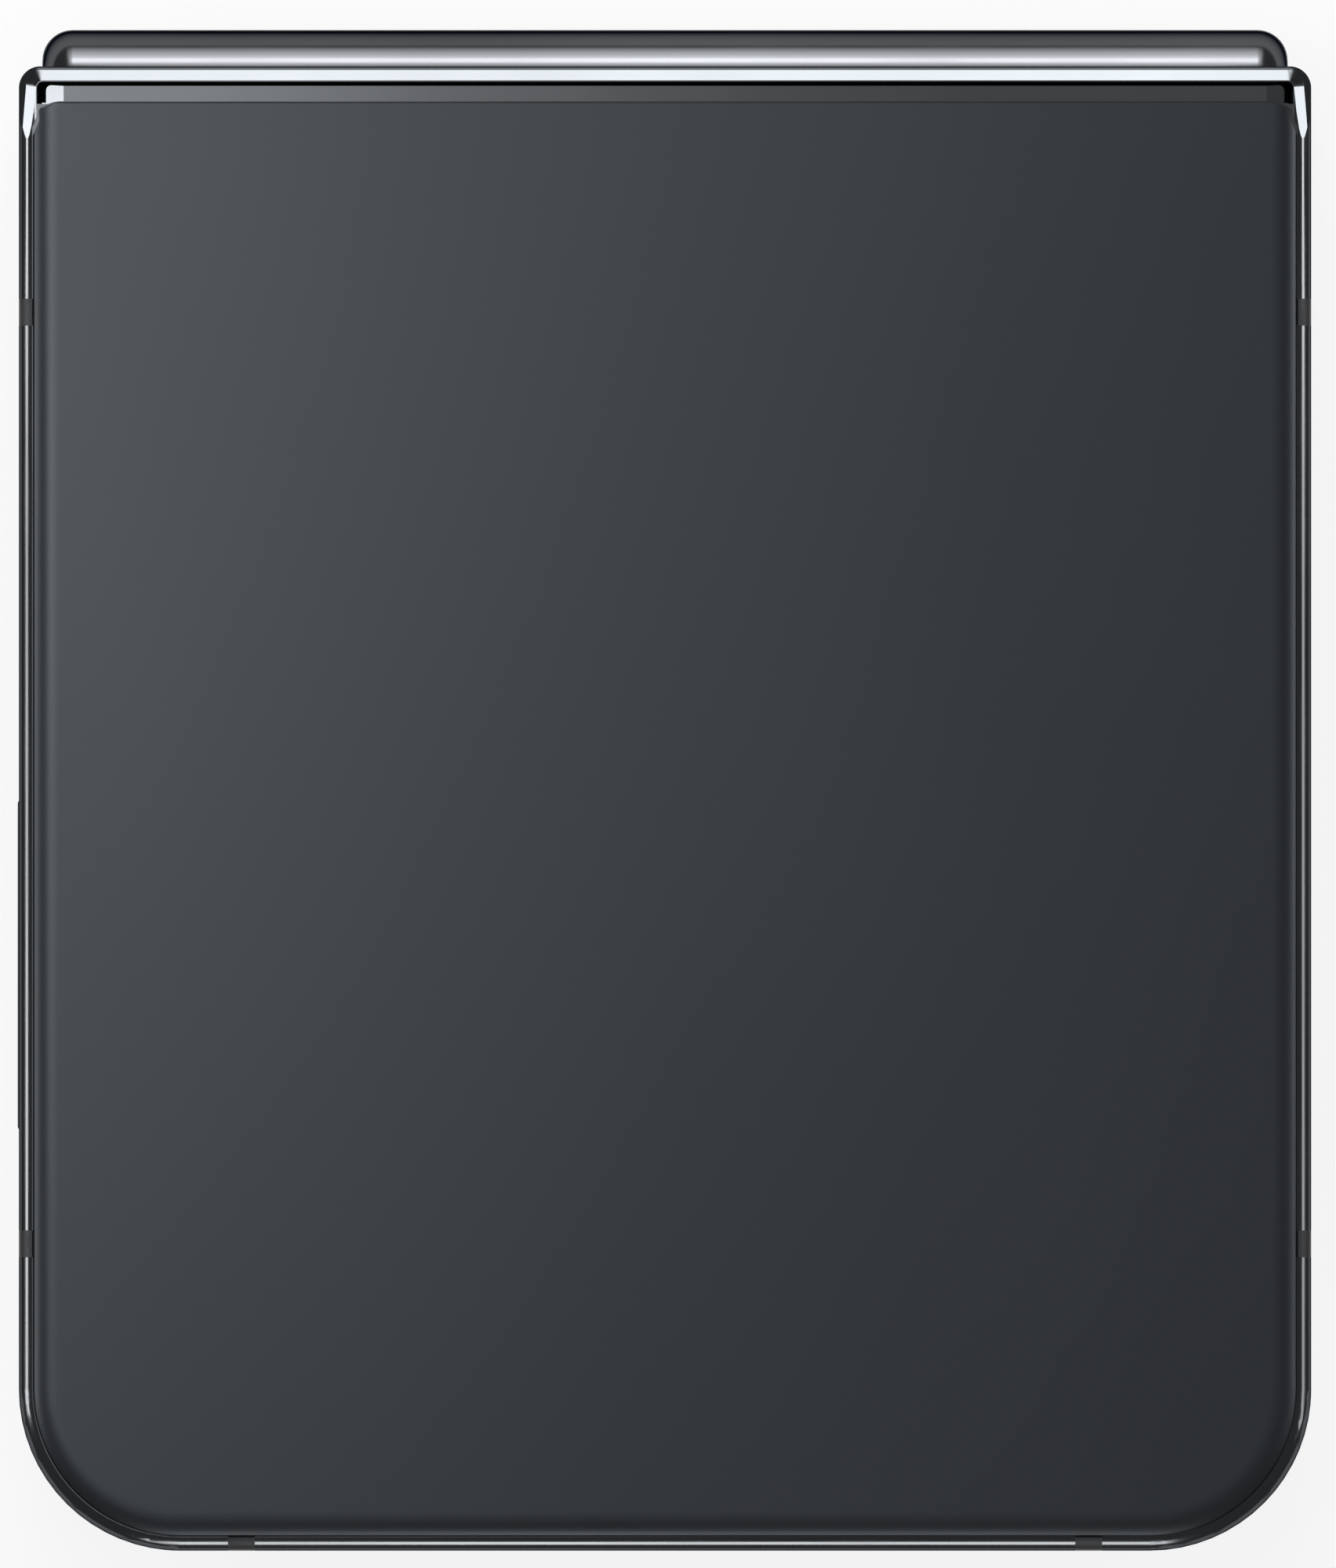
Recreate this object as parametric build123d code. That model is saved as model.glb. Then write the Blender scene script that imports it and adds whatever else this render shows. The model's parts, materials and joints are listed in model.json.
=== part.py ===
from build123d import *
import os
from math import atan2, cos, degrees, radians, sin, tan

# A folding phone, closed and lying on the outer screen of its cover half.
# Millimetres. +X is across the phone, +Y runs from the free end to the hinge and +Z is up,
# out of the back glass of the base half. The origin is the middle of the underside.
# Both halves are drawn in the place of the cover half, and to_base turns one over for the base.

# ---------------------------------------------------------------- driving dimensions
WIDTH = 72.0                # across both frames
FAR_Y = -42.4               # free end of both halves
HALF_LENGTH = 82.7          # free end to hinge end of one frame
SPINE_REACH = 2.1           # spine proud of the frames when closed
HALF_THICKNESS = 6.9        # back glass to display surface
BEZEL_RISE = 0.6            # soft bezel above the display surface
BEZEL_GAP = 0.1             # between the two bezels when closed
CAMERA_STANDOFF = 0.8       # camera rings below the cover glass

# frame and glass
FAR_RADIUS = 9.0            # plan corners at the free end
NEAR_RADIUS = 1.2           # plan corners at the hinge end
CROWN_WIDTH = 0.66          # sloping back edge of the frames, and the roundings on its two sides
CROWN_HEIGHT = 0.4
CROWN_INNER_ROUND = 1.4
CROWN_OUTER_ROUND = 0.5
DISPLAY_EDGE_ROUND = 0.3
RIM_BAND = (0.84, 25.0)     # sloping band round the hinge end: its crest from the end, and slope
RIM_EDGE = (0.56, 40.0)     # steeper band outside it
RIM_SIDES = (1.0, 0.77)     # the two crests from the sides
RIM_CORNERS = (0.35, 0.5)
RIM_FLARE = 0.081           # the side crests run outward by this share of their length
PLATE_GROOVE = (0.26, 0.58) # V groove inside the band, its width along the end and the sides
PLATE_GROOVE_SLOPE = 60.0
PLATE_CORNER = 0.25
PLATE_END = (0.92, 5.5)     # dipping ends of the plate inside the groove: width and slope
RIM_DROP = 0.12             # frame rim below the flat of the glass
WALL = 2.2                  # frame wall with its glass ledge
MIDPLATE = 0.6
GLASS_INSET = 0.74          # frame seen beside the glass
CHEEK_INSET = 1.1           # frame seen beside the glass near the hinge
GLASS_NEAR_INSET = 1.95     # frame seen between the hinge end and the glass
GLASS_STEP = (3.4, 2.6)     # from the hinge end: where the ledge steps from one inset to the other
GLASS_STEP_GAP = 0.45       # the glass steps this much further from the hinge than its ledge
GLASS_CORNER = (0.95, 0.35) # shallow corner of the glass beside the hinge, along X and Y
GLASS_THICKNESS = 0.6
GLASS_SEAM = 0.04           # gap round the glass
GLASS_BED = 0.1             # adhesive under the glass
DISPLAY_STACK = 0.7         # folding display with its backing
DISPLAY_INSET = 1.25
BEZEL_INSETS = (0.7, 3.0)

# spine
AXIS_SETBACK = 0.95         # fold axes behind the hinge end of the frames
AXIS_OFFSET = 1.0           # fold axes from the plane between the halves
SPINE_WIDTH = 69.5
SPINE_SHELL = 0.5
SPINE_END_WALL = 1.5
SPINE_END_ROUND = 1.7
SPINE_FACE_SETBACK = 0.42   # open face of the spine, behind the unfolded display
LIP_CLEARANCE = 0.15        # frame lip round the spine
CHEEK_X = 34.9              # inner face of the frame beside the spine
SHELF_LENGTH = 9.0          # hinge shelf of a frame, from the fold axis
SHELF_DROP = 1.0            # hinge shelf below the fold axis

# hinge works, as distances from the middle of the phone along X (the left set is mirrored)
GEAR_X = (14.0, 16.0)
ARM_X = (16.3, 19.0)
GEAR_WINDOW_X = (13.9, 16.2)
GEAR_WINDOW_DEPTH = 2.34    # leaves a thin web behind the gears
ARM_WINDOW_X = (16.2, 19.3)
SHAFT_X = (8.3, 20.6)
IDLER_PIN_X = (12.9, 20.3)
WASHER_WINDOW_X = (8.6, 12.2)
BRACKET_X = (7.5, 31.0)
BRACKET_SCREW_X = (22.3, 30.4)
COVER_ROTATOR_X = (24.0, 26.5)
BASE_ROTATOR_X = (27.2, 29.7)
ROTATOR_BASE_X = (22.4, 31.2)
ROTATOR_SCREW_X = (23.6, 30.0)
FOLD_CAP_X = (33.4, 34.7)

BRACKET_CORE = 1.15         # solid middle of the bracket between the arm shafts
ROTATOR_RADII = (1.5, 2.45)
ROTATOR_ANGLES = (-165.0, -60.0)
GROOVE_ANGLES = (-100.0, 36.0)
GROOVE_CLEARANCE = 0.05
TAIL_DROP = 0.42            # rotator tails below the fold axis
TAIL_THICKNESS = 0.3
NOTCH_DEPTH = 0.38          # notch in the spine's open face for tails and arms
NOTCH_SIDE = 0.15

ARM_PIVOT = (1.2, 1.2)      # arm shaft from its fold axis, outward along Y and away in Z
IDLER_SETBACK = 1.4         # idlers from the fold axes along Y
ARM_TEETH = 12
IDLER_TEETH = 14
ADDENDUM = 0.08
DEDENDUM = 0.11
TOOTH_SHARE = 0.42          # tooth thickness over circular pitch, leaving backlash
TOOTH_FOOT = 1.45           # tooth thickness at its root over that at its tip
SHAFT_RADIUS = 0.3
BORE_RADIUS = 0.34
TONGUE_LENGTH = 6.2
TONGUE_OFFSETS = (0.45, 0.75)
WASHER_COUNT = 8
WASHER_PITCH = 0.42
WASHER_THICKNESS = 0.32
WASHER_RADIUS = 0.78
FLEX_WIDTH = 10.0
FLEX_THICKNESS = 0.16
FLEX_LOOP_RADIUS = 1.7
FOLD_STRIP_WIDTH = 65.8     # bending part of the display

# screws
SCREW_HEAD_RADIUS = 0.85
SCREW_SHANK_RADIUS = 0.45
SCREW_SLOT = (1.0, 0.22, 0.3)
BRACKET_SCREW_RADIUS = 0.6
BRACKET_SCREW_DEPTH = 0.3
SCREW_SEAT = 0.05           # room round a screw head

# antenna breaks
ANTENNA_WIDTH = 1.5
ANTENNA_DEPTH = 1.3
ANTENNA_SIDE_Y = (FAR_Y + 17.1, FAR_Y + 69.0)
ANTENNA_END_X = 23.6

# keys and card tray
ROCKER_Y = -9.8
ROCKER_SIZE = (1.0, 18.4, 1.8)
ROCKER_PROUD = 0.18
PLUNGER_Y = 6.5             # rocker plungers from its middle
PLUNGER_RADIUS = 0.6
SIDE_KEY_Y = 12.6
SIDE_KEY_SIZE = (1.0, 14.0, 2.8)
SIDE_KEY_SUNK = 0.04
KEY_CLEARANCE = 0.12
SWITCH_STRIP = (3.2, 0.4, 2.6)      # strip from the frame's edge, its thickness and height
ROCKER_DOME_REACH = 0.75
SIDE_KEY_DOME_REACH = 0.6
DOME_RADIUS = 1.1
TRAY_Y = -12.0
TRAY_SIZE = (13.0, 12.0, 1.0)
TRAY_SLOT_HEIGHT = 1.4
TRAY_FACE = (1.2, 14.5, 2.2)
TRAY_SUNK = 0.03
CARD_SIZE = (9.0, 10.0)
EJECT_RADIUS = 0.45
EJECT_SPACING = 2.0         # eject hole beside the tray's face
SOCKET_WALL = 0.2

# cameras and flash
CAMERA_Y = -33.6
CAMERA_X = (-26.2, -14.0)
RING_RADIUS = 5.2
RING_WALL = 0.6
RING_SHOULDER = 0.4         # ring steps in by this where it passes the glass
LENS_COVER_Z = (0.15, 0.75)
CAMERA_HOUSING = (9.4, 9.4, 3.2)
CAMERA_BARRELS = (4.0, 3.2)
FLASH_X = -5.6
FLASH_RADIUS = 1.7
SELFIE_Y = FAR_Y + 6.0
SELFIE_RADIUS = 1.7
SELFIE_HOUSING = (5.4, 4.4, 1.7)
EARPIECE_SLOT_HALF = 6.2
EARPIECE_SLOT_Y = (FAR_Y + 1.3, FAR_Y + 1.9)

# free end openings
USB_SIZE = (8.34, 2.56)     # opening of a USB-C receptacle
USB_SHELL = 0.25
USB_DEPTH = 7.0
USB_TONGUE = (6.4, 6.0, 0.7)
SPEAKER_SLOT = (2.0, 1.1)
SPEAKER_SLOTS_X = [9.0 + 2.6 * index for index in range(4)]
MICROPHONE_X = -9.5
MICROPHONE_RADIUS = 0.55

# boards, batteries and modules, each as its ranges along X and Y
BOARD_THICKNESS = 0.8
BOARD_END = ((-9.0, 20.0), (-38.7, -28.6))
BOARD_WING = ((-8.0, 33.0), (-29.0, -2.6))
SHIELDS = (((-7.0, 14.0), (-18.5, -4.0)), ((-7.0, 32.0), (-28.0, -20.4)))
SHIELD_HEIGHT = 1.5
SHIELD_WALL = 0.2
SUB_BOARD = ((-33.0, 5.4), (-38.6, -21.4))
SUB_BOARD_CORNER = 6.0
UPPER_BATTERY = ((-29.0, 32.6), (-1.6, 28.75))
MAIN_BATTERY = ((-31.0, 31.0), (-20.0, 28.75))
BATTERY_EDGE_ROUND = 0.8
LOUDSPEAKER = ((8.0, 26.0), (-39.9, -22.5))
LOUDSPEAKER_CORNER = 4.5
VIBRATION_MOTOR = ((-18.0, -6.6), (-36.6, -31.0))
GRILLE_Y = (-40.16, -39.95)
GRILLE_Z = (3.5, 5.0)
MICROPHONE_Y = (-40.0, -37.8)
OUTER_SCREEN = (64.0, 55.0, 2.5)    # width, length and corner radius
OUTER_SCREEN_Y = 0.8
COIL_Y = 4.0
COIL_TURNS = 8
COIL_PITCH = 1.0
COIL_TRACK = 0.75
COIL_FIRST_RADIUS = 13.0
COIL_THICKNESS = 0.3
COIL_SHIELD = (46.0, 4.0)           # side and corner radius
MAGNET_SIZE = (2.6, 5.0, 1.2)
MAGNET_X = 31.9
MAGNET_Y = -24.0

# ---------------------------------------------------------------- worked-out places
HALF_WIDTH = WIDTH / 2
NEAR_Y = FAR_Y + HALF_LENGTH
BACK_Z = CAMERA_STANDOFF
RIM_Z = BACK_Z + RIM_DROP
DISPLAY_Z = BACK_Z + HALF_THICKNESS
MIDDLE_Z = DISPLAY_Z + BEZEL_RISE + BEZEL_GAP / 2
LEDGE_Z = BACK_Z + GLASS_THICKNESS + GLASS_BED
MIDPLATE_TOP_Z = DISPLAY_Z - DISPLAY_STACK
MIDPLATE_Z = MIDPLATE_TOP_Z - MIDPLATE
AXIS_Y = NEAR_Y - AXIS_SETBACK
AXIS_Z = MIDDLE_Z - AXIS_OFFSET
SPINE_RADIUS = SPINE_REACH + AXIS_SETBACK
SPINE_INNER = SPINE_RADIUS - SPINE_SHELL
CAVITY_RADIUS = SPINE_RADIUS + LIP_CLEARANCE
SPINE_FACE_Y = AXIS_Y + SPINE_FACE_SETBACK
SHELF_FRONT_Y = AXIS_Y - CAVITY_RADIUS
SHELF_BACK_Y = AXIS_Y - SHELF_LENGTH
SHELF_TOP_Z = AXIS_Z - SHELF_DROP
ROTATOR_SCREW_Y = SHELF_FRONT_Y - 2.9
TAIL_TOP_Z = AXIS_Z - TAIL_DROP
PLATE_FAR_Y = NEAR_Y - GLASS_NEAR_INSET - 0.15      # runs just past the edge of the glass
BAY_NEAR_Y = SHELF_BACK_Y - 1.0
BAY_FAR_Y = FAR_Y + WALL
BAY_X = HALF_WIDTH - WALL
KEY_Z = BACK_Z + HALF_THICKNESS / 2
BOARD_Z = LEDGE_Z + 2.6
SUB_BOARD_Z = LEDGE_Z + 0.35
SUB_BOARD_TOP_Z = SUB_BOARD_Z + BOARD_THICKNESS
TRAY_INNER_X = HALF_WIDTH - TRAY_FACE[0] - TRAY_SIZE[0]
IDLER_Y = AXIS_Y + IDLER_SETBACK
ANYWHERE_Z = (BACK_Z - 1, DISPLAY_Z + 1)    # through a whole half


# ---------------------------------------------------------------- helpers
def block(x_range, y_range, z_range):
    """A box between two limits along each axis."""
    sizes = [high - low for low, high in (x_range, y_range, z_range)]
    centre = [(high + low) / 2 for low, high in (x_range, y_range, z_range)]
    return Pos(*centre) * Box(*sizes)


def block_at(centre, size):
    return Pos(*centre) * Box(*size)


def slab(outline, z_range):
    """A plan outline thickened between two heights."""
    return extrude(Pos(0, 0, z_range[0]) * outline, amount=z_range[1] - z_range[0])


def bar(section, x_range):
    """A Y-Z section run along X."""
    return extrude(Pos(x_range[0], 0, 0) * (Plane.YZ * section), amount=x_range[1] - x_range[0])


def rod(y, z, radius, x_range):
    return bar(Pos(y, z) * Circle(radius), x_range)


def post(x, y, radius, z_range):
    return slab(Pos(x, y) * Circle(radius), z_range)


def widened(limits, margin):
    return (limits[0] - margin, limits[1] + margin)


def edges_at_height(part, z):
    return part.edges().filter_by_position(Axis.Z, z - 0.001, z + 0.001)


def to_base(part):
    """The same piece in the base half, which lies face down on the cover half."""
    return mirror(part, about=Plane.XY.offset(MIDDLE_Z))


def both_sides(part):
    return [part, mirror(part, about=Plane.YZ)]


def group(parts):
    """Separate solids that share one node."""
    return Compound(children=[solid for part in parts for solid in part.solids()])


def annulus_sector(radii, angles, centre):
    """Ring sector in the Y-Z section plane, angles in degrees from +Y towards +Z."""
    (inner, outer), (start, end) = radii, angles

    def at(radius, angle):
        return (radius * cos(radians(angle)), radius * sin(radians(angle)))

    middle = (start + end) / 2
    rim = ThreePointArc(at(outer, start), at(outer, middle), at(outer, end))
    bore = ThreePointArc(at(inner, end), at(inner, middle), at(inner, start))
    sides = [Line(at(inner, start), at(outer, start)), Line(at(outer, end), at(inner, end))]
    return Pos(*centre) * make_face([sides[0], rim, sides[1], bore])


# ---------------------------------------------------------------- outlines in plan
def half_outline(inset, near_y=NEAR_Y):
    """Plan of one half, drawn in from the frame's edge by the inset."""
    far, near = FAR_Y + inset, near_y - inset
    outline = Pos(0, (far + near) / 2) * Rectangle(WIDTH - 2 * inset, near - far)
    outline = fillet(outline.vertices().group_by(Axis.Y)[0], max(FAR_RADIUS - inset, 0.5))
    return fillet(outline.vertices().group_by(Axis.Y)[-1], max(NEAR_RADIUS - inset, 0.2))


def open_outline(inset):
    """The same plan run out past the hinge end."""
    return half_outline(inset, near_y=NEAR_Y + 5)


def glass_outline(seam, step_gap=0.0):
    """Plan of a back glass, which steps in a little beside the hinge."""
    wide = HALF_WIDTH - GLASS_INSET - seam
    narrow = HALF_WIDTH - CHEEK_INSET - seam
    far, near = FAR_Y + GLASS_INSET + seam, NEAR_Y - GLASS_NEAR_INSET - seam
    step_start, step_end = (NEAR_Y - distance - step_gap for distance in GLASS_STEP)
    run, drop = GLASS_CORNER
    right = [(wide, far), (wide, step_start), (narrow, step_end), (narrow, near - drop)]
    right.append((narrow - run, near))
    left = [(-x, y) for x, y in reversed(right)]
    outline = make_face(Polyline(*right, *left, close=True))
    outline = fillet(outline.vertices().group_by(Axis.Y)[0], FAR_RADIUS - GLASS_INSET)
    outline = fillet(outline.vertices().group_by(Axis.Y)[-2], 0.4)
    return fillet(outline.vertices().group_by(Axis.Y)[-1], 1.6)


# ---------------------------------------------------------------- frames
def crest_outline(from_end, from_side, corner, far_y=FAR_Y - 5, flare=0.0):
    """Plan of a crest line that runs round the hinge end and down both sides."""
    near, side = NEAR_Y - from_end, HALF_WIDTH - from_side
    wide = side + flare * (near - far_y)
    outline = Polyline((-side, near), (-wide, far_y), (wide, far_y), (side, near), close=True)
    outline = make_face(outline)
    return fillet(outline.vertices().group_by(Axis.Y)[-1], corner)


def sloped_form(outline, depth, slope):
    """Runs inward from an outline at the back of the rim; past 90 degrees its walls lean in."""
    return extrude(Pos(0, 0, RIM_Z) * outline, amount=depth, taper=slope - 90)


def rim_forms():
    """Forms whose sloping walls shape the two bands round the hinge end."""
    forms = []
    for (from_end, slope), from_side, corner in zip((RIM_BAND, RIM_EDGE), RIM_SIDES, RIM_CORNERS):
        outline = crest_outline(from_end, from_side, corner, flare=RIM_FLARE)
        forms.append(sloped_form(outline, DISPLAY_Z - RIM_Z + 1, slope))
    return forms


def plate_groove():
    """V groove between the sloping band and the flat plate round the end of the glass."""
    end, side = RIM_BAND[0], RIM_SIDES[0]
    plate_end, plate_side = end + PLATE_GROOVE[0], side + PLATE_GROOVE[1]
    rim = crest_outline(end, side, RIM_CORNERS[0], far_y=PLATE_FAR_Y)
    plate = crest_outline(plate_end, plate_side, PLATE_CORNER, far_y=PLATE_FAR_Y)
    depth = max(PLATE_GROOVE) * tan(radians(PLATE_GROOVE_SLOPE)) / 2 + 0.05
    inner_wall = sloped_form(plate, depth, PLATE_GROOVE_SLOPE)
    return sloped_form(rim, depth, 180 - PLATE_GROOVE_SLOPE) - inner_wall


def plate_end_cutter():
    """Dips one end of the plate towards the groove, as far as the groove's middle."""
    width, slope = PLATE_END
    groove_x = HALF_WIDTH - RIM_SIDES[0] - PLATE_GROOVE[1] / 2
    groove_y = NEAR_Y - RIM_BAND[0] - PLATE_GROOVE[0] / 2
    start_x = groove_x - PLATE_GROOVE[1] / 2 - width
    dip = (groove_x - start_x) * tan(radians(slope))
    section = Polyline((-start_x, RIM_Z), (-groove_x, RIM_Z + dip), (-groove_x, RIM_Z - 1), close=True)
    section = Pos(0, groove_y, 0) * (Plane.XZ * make_face(section))
    return extrude(section, amount=groove_y - PLATE_FAR_Y)


def antenna_slots():
    """The six plastic-filled breaks of one frame."""
    half = ANTENNA_WIDTH / 2
    slots = []
    for side in (-1, 1):
        depth = sorted((side * (HALF_WIDTH + 1), side * (HALF_WIDTH - ANTENNA_DEPTH)))
        for y in ANTENNA_SIDE_Y:
            slots.append(block(depth, (y - half, y + half), ANYWHERE_Z))
        x = side * ANTENNA_END_X
        slots.append(block((x - half, x + half), (FAR_Y - 1, FAR_Y + ANTENNA_DEPTH), ANYWHERE_Z))
    return slots


def frame_blank():
    """The outer form shared by a frame and its antenna breaks."""
    blank = slab(half_outline(0), (RIM_Z, DISPLAY_Z))
    blank = fillet(edges_at_height(blank, DISPLAY_Z), DISPLAY_EDGE_ROUND)
    back = blank.faces().sort_by(Axis.Z)[0]
    blank = chamfer(back.edges(), CROWN_WIDTH, CROWN_HEIGHT, reference=back)
    blank = fillet(edges_at_height(blank, RIM_Z), CROWN_INNER_ROUND)
    blank = fillet(edges_at_height(blank, RIM_Z + CROWN_HEIGHT), CROWN_OUTER_ROUND)
    for form in rim_forms():
        blank &= form
    for cutter in [plate_groove()] + both_sides(plate_end_cutter()):
        blank -= cutter
    return blank


def rotator_fixings():
    """Where screws hold the rotators to the hinge shelf."""
    return [(side * x, ROTATOR_SCREW_Y) for side in (-1, 1) for x in ROTATOR_SCREW_X]


def tongue_pocket():
    """Pocket in the shelf for an arm's sliding tongue."""
    bottom = AXIS_Z - TONGUE_OFFSETS[1] - 0.6
    return block(widened(ARM_X, 0.3), (SHELF_BACK_Y + 0.6, AXIS_Y), (bottom, AXIS_Z))


def half_frame():
    """One milled frame: walls, glass ledge, midplate, hinge shelf and lip."""
    frame = frame_blank()
    frame -= slab(glass_outline(0), (BACK_Z - 1, LEDGE_Z))
    bay = Pos(0, (BAY_FAR_Y + BAY_NEAR_Y) / 2) * Rectangle(2 * BAY_X, BAY_NEAR_Y - BAY_FAR_Y)
    bay = fillet(bay.vertices().group_by(Axis.Y)[0], FAR_RADIUS - WALL)
    frame -= slab(bay, (LEDGE_Z - 0.5, MIDPLATE_Z))
    frame -= slab(open_outline(DISPLAY_INSET), (MIDPLATE_TOP_Z, DISPLAY_Z + 1))
    frame -= rod(AXIS_Y, AXIS_Z, CAVITY_RADIUS, (-CHEEK_X, CHEEK_X))
    frame -= block((-CHEEK_X, CHEEK_X), (SHELF_FRONT_Y, NEAR_Y + 1), (AXIS_Z, DISPLAY_Z + 1))
    frame -= block((-BAY_X, BAY_X), (SHELF_BACK_Y, SHELF_FRONT_Y + 1), (SHELF_TOP_Z, DISPLAY_Z + 1))
    for cutter in both_sides(tongue_pocket()) + antenna_slots():
        frame -= cutter
    for x, y in rotator_fixings():
        frame -= post(x, y, SCREW_SHANK_RADIUS + SCREW_SEAT, (SHELF_TOP_Z - 2.4, SHELF_TOP_Z + 1))
    return frame


def antenna_breaks():
    """Plastic fillers, flush with the frame all round."""
    blank = frame_blank() - slab(half_outline(ANTENNA_DEPTH), ANYWHERE_Z)
    blank -= slab(glass_outline(0), (BACK_Z - 1, LEDGE_Z))
    blank -= slab(open_outline(DISPLAY_INSET), (MIDPLATE_TOP_Z, DISPLAY_Z + 1))
    return group([blank & slot for slot in antenna_slots()])


def key_opening(y, size):
    clear = 2 * KEY_CLEARANCE
    centre = (-HALF_WIDTH + WALL / 2, y, KEY_Z)
    return block_at(centre, (WALL + 2, size[1] + clear, size[2] + clear))


def tray_opening():
    """Seat for the tray's face, the slot behind it and the eject hole beside it."""
    clear = 2 * KEY_CLEARANCE
    face = [size + clear for size in TRAY_FACE]
    opening = block_at((HALF_WIDTH, TRAY_Y, KEY_Z), (2 * face[0], face[1], face[2]))
    slot = (2 * WALL + 1, TRAY_SIZE[1] + clear, TRAY_SLOT_HEIGHT + clear)
    opening += block_at((HALF_WIDTH, TRAY_Y, KEY_Z), slot)
    eject_y = TRAY_Y + TRAY_FACE[1] / 2 + EJECT_SPACING
    return opening, rod(eject_y, KEY_Z, EJECT_RADIUS, (HALF_WIDTH - WALL - 1, HALF_WIDTH + 1))


def earpiece_slot(z_range):
    return block((-EARPIECE_SLOT_HALF, EARPIECE_SLOT_HALF), EARPIECE_SLOT_Y, z_range)


def cover_frame():
    frame = half_frame()
    frame -= key_opening(ROCKER_Y, ROCKER_SIZE)
    frame -= key_opening(SIDE_KEY_Y, SIDE_KEY_SIZE)
    for cutter in tray_opening():
        frame -= cutter
    through_midplate = (MIDPLATE_Z - 1, DISPLAY_Z + 1)
    frame -= post(0, SELFIE_Y, SELFIE_RADIUS + 0.1, through_midplate)
    return frame - earpiece_slot(through_midplate)


def end_opening(outline):
    """A hole through the free end, drawn in X and Z."""
    return extrude(Plane.XZ.offset(-FAR_Y + 1) * outline, amount=-(WALL + 2))


def base_frame():
    frame = half_frame()
    usb = [size + 2 * USB_SHELL for size in USB_SIZE]
    frame -= end_opening(Pos(0, KEY_Z) * SlotOverall(*usb))
    for x in SPEAKER_SLOTS_X:
        frame -= end_opening(Pos(x, KEY_Z) * SlotOverall(*SPEAKER_SLOT))
    frame -= end_opening(Pos(MICROPHONE_X, KEY_Z) * Circle(MICROPHONE_RADIUS))
    return to_base(frame)


def bezel():
    """Raised soft rim round three sides of the folding display."""
    inner = half_outline(BEZEL_INSETS[1], near_y=NEAR_Y + 8)
    rim = slab(open_outline(BEZEL_INSETS[0]) - inner, (DISPLAY_Z, DISPLAY_Z + BEZEL_RISE))
    rim -= block((-WIDTH, WIDTH), (AXIS_Y - 0.6, NEAR_Y + 20), ANYWHERE_Z)
    return fillet(edges_at_height(rim, DISPLAY_Z + BEZEL_RISE), 0.25)


# ---------------------------------------------------------------- glass and screens
def back_panel_glass():
    outline = glass_outline(GLASS_SEAM, GLASS_STEP_GAP)
    glass = slab(outline, (BACK_Z, BACK_Z + GLASS_THICKNESS))
    return fillet(edges_at_height(glass, BACK_Z), 0.3)


def cover_glass():
    glass = back_panel_glass()
    for x in CAMERA_X:
        glass -= post(x, CAMERA_Y, RING_RADIUS - 0.3, ANYWHERE_Z)
    return glass


def cover_display():
    """Outer screen panel behind the cover glass."""
    panel = Pos(0, OUTER_SCREEN_Y) * RectangleRounded(*OUTER_SCREEN)
    return slab(panel, (LEDGE_Z, LEDGE_Z + 0.8))


def display_section():
    """Backed, rigid part of the folding display in one half."""
    panel = slab(open_outline(DISPLAY_INSET + 0.05), (MIDPLATE_TOP_Z, DISPLAY_Z))
    return panel - block((-WIDTH, WIDTH), (SHELF_FRONT_Y, NEAR_Y + 10), ANYWHERE_Z)


def display_upper_section():
    panel = display_section() - post(0, SELFIE_Y, SELFIE_RADIUS, ANYWHERE_Z)
    slot_end = block((-EARPIECE_SLOT_HALF, EARPIECE_SLOT_HALF), (FAR_Y, EARPIECE_SLOT_Y[1]), ANYWHERE_Z)
    return panel - slot_end


def display_fold_section():
    """The part of the display that bends: out of each half and round behind the spine."""
    depth = DISPLAY_STACK / 2
    front = SHELF_FRONT_Y + 0.1
    outer = [(front, AXIS_Z - depth), (AXIS_Y - 0.9, AXIS_Z - depth)]
    outer += [(AXIS_Y + depth, AXIS_Z + 0.4), (AXIS_Y + depth, MIDDLE_Z)]
    inner = [(AXIS_Y - depth, MIDDLE_Z), (AXIS_Y - depth, AXIS_Z + 0.65)]
    inner += [(AXIS_Y - 1.1, AXIS_Z + depth), (front, AXIS_Z + depth)]
    section = make_face(Polyline(*outer, *inner, close=True))
    lower = bar(section, (-FOLD_STRIP_WIDTH / 2, FOLD_STRIP_WIDTH / 2))
    return lower + to_base(lower)


# ---------------------------------------------------------------- cameras
def camera_rings():
    rings = []
    for x in CAMERA_X:
        ring = post(x, CAMERA_Y, RING_RADIUS, (0, BACK_Z))
        ring = fillet(edges_at_height(ring, 0), 0.3)
        ring += post(x, CAMERA_Y, RING_RADIUS - RING_SHOULDER, (BACK_Z, LEDGE_Z))
        ring -= post(x, CAMERA_Y, RING_RADIUS - RING_WALL, (-1, LEDGE_Z + 1))
        rings.append(ring)
    return group(rings)


def camera_lens_covers():
    radius = RING_RADIUS - RING_WALL - 0.03
    return group([post(x, CAMERA_Y, radius, LENS_COVER_Z) for x in CAMERA_X])


def camera_modules():
    modules = []
    for x, barrel in zip(CAMERA_X, CAMERA_BARRELS):
        housing = block_at((x, CAMERA_Y, LEDGE_Z + 2.0), CAMERA_HOUSING)
        lens = post(x, CAMERA_Y, barrel, (LENS_COVER_Z[1] + 0.1, LEDGE_Z + 1.0))
        aperture = post(x, CAMERA_Y, barrel * 0.45, (0, 1.2))
        modules.append(housing + lens - aperture)
    return group(modules)


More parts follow.
